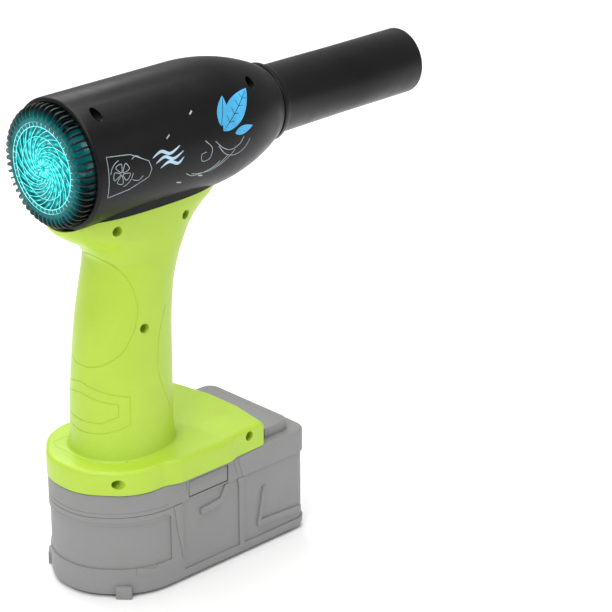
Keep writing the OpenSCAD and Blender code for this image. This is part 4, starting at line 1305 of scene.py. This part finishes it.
def rear_line(z, out):
    """Line round the pack's rear at a height."""
    ring = [(x, y, z) for x, y in outline(pack_path(-out)) if x < -28]
    return [p for p in ring if p[1] >= 0] + [p for p in ring if p[1] < 0]


def pack_shell(name, rows, room_low, room_high):
    shell = loft(name, [lifted(outline(pack_path(inset)), z) for inset, z in rows])
    return cut(shell, prism("room", outline(pack_path(PACK_WALL + 0.9)), room_low, room_high))


# Room for a latch's stem, its hook and its button, as pairs of x, y and z
LATCH_WAYS = (
    ((-10.7, 0.7), (14, 22.4), (SEAM_Z + 2, BLOCK_TOP - 1.3)),
    ((-10.7, 0.7), (14, 29), (PACK_TOP + 2.2, BLOCK_TOP - 1.3)),
    ((-17.3, 11.3), (31, 41), (PACK_TOP - 12.3, PACK_TOP - 2.3)),
)
# Seams down the cover's sides as (x, z)
COVER_SEAMS = (
    ((15.6, PACK_TOP + 1), (15.8, 56.8), (19.1, SEAM_Z - 1)),
    ((-19.6, PACK_TOP + 1), (-19.4, 58.3), (-16, SEAM_Z - 1)),
    ((19.0, PACK_TOP + 1), (19.2, 56.8), (22.1, SEAM_Z - 1)),
)
PACK_POSTS = ((-58.5, 19), (-58.5, -19), (PACK_FRONT - 6, 27), (PACK_FRONT - 6, -27))


def pack_posts(low, high):
    return [rod("post", (x, y, low), (x, y, high), 3.4, 32) for x, y in PACK_POSTS]


class BLOWER_OT_pack(bpy.types.Operator):
    """Battery pack: cover with its rail block and tray with side relief, rear bands and feet"""

    bl_idname = "blower.pack"
    bl_label = "Battery pack shells"

    def execute(self, context):
        self.cover()
        self.tray()
        return {"FINISHED"}

    def cover(self):
        rows = [(0.3, SEAM_Z), (0, SEAM_Z + 0.3)] + edge_arc(0, PACK_TOP, 1.4, 5)
        cover = pack_shell("cover", rows, SEAM_Z - 1, PACK_TOP - PACK_WALL)
        rail = block("rail", (-38, -24, PACK_TOP - 0.5), (45.4, 24, PACK_TOP + 2))
        flange = block("flange", (-38, -28, PACK_TOP + 2), (45.4, 28, BLOCK_TOP))
        rows = [(0, PACK_TOP - 0.5), (0, BLOCK_TOP - 0.8), (0.25, BLOCK_TOP - 0.25), (0.8, BLOCK_TOP)]
        pad = loft("pad", [lifted(outline(both_sides([(44.4 + i, -33 + i, 0), (64 - i, -33 + i, 6)])), z)
                           for i, z in rows])
        add(cover, rail, flange, pad)
        for y in BLADES_Y:
            cut(cover, block("slot", (-39, y - 1.7, FOOT_Z + 0.8), (-22, y + 1.7, FOOT_Z + 5.4)))
        for side in (RIGHT, LEFT):
            for x, y, z in LATCH_WAYS:
                cut(cover, side_block("latch_way", side, x, y, z))
            for path in COVER_SEAMS:
                cut(cover, cord_line("seam", [(x, side * (PACK_HALF + 0.15), z) for x, z in path], 0.5))
        cut(cover, cord_line("line", rear_line(50.6, 0.12), 0.35))
        finished(renamed(cover, "pack_top_shell"), "grey", "grey_plastic", "pack", "pack_cover")

    def tray(self):
        top = SEAM_Z - 0.1
        rows = [(1.6, 1.2), (0.5, 2.0), (0.1, 3.4), (0, 4.6), (0, top - 0.3), (0.3, top)]
        tray = pack_shell("tray", rows, 1.2 + PACK_WALL, top + 2)
        add(tray, *pack_posts(1.4, top))
        for x, y in PACK_POSTS:
            cut(tray, rod("recess", (x, y, -1), (x, y, SEAM_Z - 9), HEAD_WAY_R, 36),
                rod("way", (x, y, 1), (x, y, 60), SHANK_WAY_R, 24))
        pad = both_sides([(-58, -14, 8), (-44, -25, 8), (PACK_FRONT - 14, -25, 6)])
        add(tray, prism("floor_pad", outline(pad), 0, 1.8))
        for side in (RIGHT, LEFT):
            for field in SUNK_FIELDS:
                cut(tray, side_field("field", field, FIELD_DEPTH, side))
            for ledge in LEDGES:
                add(tray, side_ledge("ledge", ledge, side))
        cut(tray, rear_band(17, 43.2, 0.7))
        cut(tray, cord_line("line", rear_line(44.6, 0.12), 0.3))
        for side in (RIGHT, LEFT):
            foot = rounded(block("foot_tab", (-4.4, -1.2, 0), (4.4, 1.5, 7.2)), 0.5, 50)
            foot.data.transform(Matrix.Translation((-58 * MM, side * 30.6 * MM, 0))
                                @ Matrix.Rotation(math.radians(side * 47), 4, "Z"))
            add(tray, foot)
        finished(renamed(tray, "pack_bottom_shell"), "grey", "grey_plastic", "pack", "pack_tray")


class BLOWER_OT_latches(bpy.types.Operator):
    """Latch buttons in the pack's sides with their arms and hooks"""

    bl_idname = "blower.latches"
    bl_label = "Latches"

    def execute(self, context):
        for side in (RIGHT, LEFT):
            body = "latch_" + SIDE_NAME[side]
            low, high = corner_box(body)
            face = max(abs(low.y), abs(high.y))
            button = side_block("bar", side, (-17, 11), (face - 2.4, face),
                                (PACK_TOP - 12, PACK_TOP - 2.6))
            rounded(button, 0.7, 50, 3)
            for y, z in (((18.5, face - 2.0), (PACK_TOP - 9, PACK_TOP - 6)),
                         ((18.5, 21.5), (PACK_TOP - 9, BLOCK_TOP - 1.6)),
                         ((18.5, 27.9), (PACK_TOP + 2.5, BLOCK_TOP - 1.6))):
                add(button, side_block("bar", side, (-10, 0), y, z))
            finished(renamed(button, body + "_button"), "grey", "grey_plastic", body, body)
        return {"FINISHED"}


# --- Pieces that keep their CAD shape ------------------------------------------------------------

INSIDE_FINISH = {
    "barrel_screws": "zinc", "handle_screws": "zinc", "pack_screws": "zinc", "fan_duct": "dark",
    "impeller": "teal", "spinner": "teal", "motor_shaft": "steel", "motor_magnet": "magnet",
    "motor_stator": "laminate", "motor_coils": "copper", "motor_bearings": "steel", "motor_cap": "dark",
    "nozzle_socket": "black", "switch_body": "dark", "controller_board": "board",
    "controller_parts": "dark", "terminal_block": "dark", "terminal_blades": "brass", "leads": "lead",
    "pack_cells": "wrap", "cell_holder_right": "dark", "cell_holder_left": "dark", "cell_straps": "nickel",
    "pack_board": "board", "pack_contacts": "brass",
}


class BLOWER_OT_inside(bpy.types.Operator):
    """Finishes for the fan, motor, electronics, cells and screws"""

    bl_idname = "blower.inside"
    bl_label = "Inner pieces"

    def execute(self, context):
        for node, finish in INSIDE_FINISH.items():
            piece = frame["nodes"][node]
            piece.data.materials.clear()
            piece.data.materials.append(finish_named(finish))
            pick(piece)
            bpy.ops.object.shade_smooth_by_angle(angle=math.radians(30))
        return {"FINISHED"}


# Spring, the joint that presses it, its body, axis number, travel and which end stays put
SPRINGS = (
    ("trigger_spring", "trigger_pull", "blower", 0, 4.05, "low"),
    ("latch_spring_right", "latch_right_press", "pack", 1, 3.05, "high"),
    ("latch_spring_left", "latch_left_press", "pack", 1, 3.05, "low"),
)


class BLOWER_OT_springs(bpy.types.Operator):
    """Steel return springs for the trigger and the latches, copied from their CAD springs"""

    bl_idname = "blower.springs"
    bl_label = "Springs"

    def execute(self, context):
        for node, joint, body, axis, travel, still in SPRINGS:
            spring = merged(copied(frame["nodes"][node], node + "_coil"), COIL_WELD)
            for key in {"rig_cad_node", "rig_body"} & set(spring.keys()):
                del spring[key]
            spring.parent = None
            finished(spring, "steel", "ground_steel", body, node, angle=40)
            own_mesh(spring)
        return {"FINISHED"}


# --- Stage ---------------------------------------------------------------------------------------

CAMERA_AT = Vector((-833.4, -969.6, 682.4))
CAMERA_TO = Vector((108.5, 0, 112.1))
LENS = 151.56
ROLL = math.radians(-0.18)
# Share of the white surroundings that lights the pieces; the camera sees them in full
ROOM_LIGHT = 0.42
# Name, place and aim in metres, size, watts
LIGHTS = (
    ("key", (-1.3, -0.5, 1.5), (0, 0, 0.15), (0.9, 0.9), 13),
    ("fill", (0.4, -1.8, 0.9), (0, 0, 0.15), (1.2, 1.0), 3.5),
    ("top", (0.1, 0.1, 1.9), (0.05, 0, 0), (1.6, 1.6), 30),
    ("back", (0.5, 1.4, 1.3), (0, 0, 0.2), (1.2, 0.7), 9),
)


def area_light(name, at, to, size, power):
    light = bpy.data.lights.new(name, "AREA")
    light.shape, light.size, light.size_y = "RECTANGLE", size[0], size[1]
    light.energy = power
    obj = bpy.data.objects.new(name, light)
    bpy.context.collection.objects.link(obj)
    obj.location = at
    obj.rotation_euler = (Vector(to) - Vector(at)).to_track_quat("-Z", "Y").to_euler()


class BLOWER_OT_stage(bpy.types.Operator):
    """Pale floor, soft studio lights, white surroundings and the camera"""

    bl_idname = "blower.stage"
    bl_label = "Stage"

    def execute(self, context):
        deselect()
        bpy.ops.mesh.primitive_plane_add(size=8, location=(0, 0, 0))
        floor = named("floor")
        floor.data.materials.append(finish_named("floor"))
        world = bpy.data.worlds.new("studio")
        context.scene.world = world
        world.use_nodes = True
        tree = world.node_tree
        shader = tree.nodes["Background"]
        path = tree.nodes.new("ShaderNodeLightPath")
        level = tree.nodes.new("ShaderNodeMapRange")
        level.inputs["To Min"].default_value = ROOM_LIGHT
        level.inputs["To Max"].default_value = 1.0
        tree.links.new(path.outputs["Is Camera Ray"], level.inputs["Value"])
        tree.links.new(level.outputs["Result"], shader.inputs["Strength"])
        shader.inputs["Color"].default_value = (1, 1, 1, 1)
        for light in LIGHTS:
            area_light(*light)
        context.scene.view_settings.view_transform = "Standard"
        camera = bpy.data.objects.new("camera", bpy.data.cameras.new("camera"))
        bpy.context.collection.objects.link(camera)
        camera.data.lens, camera.data.sensor_width = LENS, 36.0
        camera.data.clip_start, camera.data.clip_end = 0.05, 50
        camera.location = CAMERA_AT * MM
        look = (CAMERA_TO - CAMERA_AT).to_track_quat("-Z", "Y").to_matrix()
        camera.rotation_euler = (look @ Matrix.Rotation(ROLL, 3, "Z")).to_euler()
        context.scene.camera = camera
        return {"FINISHED"}


# --- Panel and main ------------------------------------------------------------------------------

BUILD = (BLOWER_OT_barrel, BLOWER_OT_prints, BLOWER_OT_nozzle, BLOWER_OT_intake, BLOWER_OT_swirl,
         BLOWER_OT_handle, BLOWER_OT_trigger, BLOWER_OT_pack, BLOWER_OT_latches, BLOWER_OT_inside,
         BLOWER_OT_springs, BLOWER_OT_stage)


class BLOWER_PT_panel(bpy.types.Panel):
    """Lists the pieces of the blower"""

    bl_idname = "BLOWER_PT_panel"
    bl_label = "Cordless leaf blower"
    bl_space_type = "VIEW_3D"
    bl_region_type = "UI"
    bl_category = "Leaf Blower"

    def draw(self, context):
        for group in (colours(), sizes()):
            for name in group.__annotations__:
                self.layout.prop(group, name)
        for operator in BUILD:
            self.layout.operator(operator.bl_idname)


CLASSES = (BlowerColours, BlowerSizes, *BUILD, BLOWER_PT_panel)


def register():
    for cls in CLASSES:
        bpy.utils.register_class(cls)
    bpy.types.Scene.blower_colours = bpy.props.PointerProperty(type=BlowerColours)
    bpy.types.Scene.blower_sizes = bpy.props.PointerProperty(type=BlowerSizes)


def unregister():
    del bpy.types.Scene.blower_sizes
    del bpy.types.Scene.blower_colours
    for cls in reversed(CLASSES):
        bpy.utils.unregister_class(cls)


def run(operator):
    group, name = operator.bl_idname.split(".")
    result = getattr(getattr(bpy.ops, group), name)()
    if result != {"FINISHED"}:
        raise RuntimeError(f"{operator.bl_label} did not finish")


def main():
    register()
    for operator in BUILD:
        run(operator)


if __name__ == "__main__":
    main()
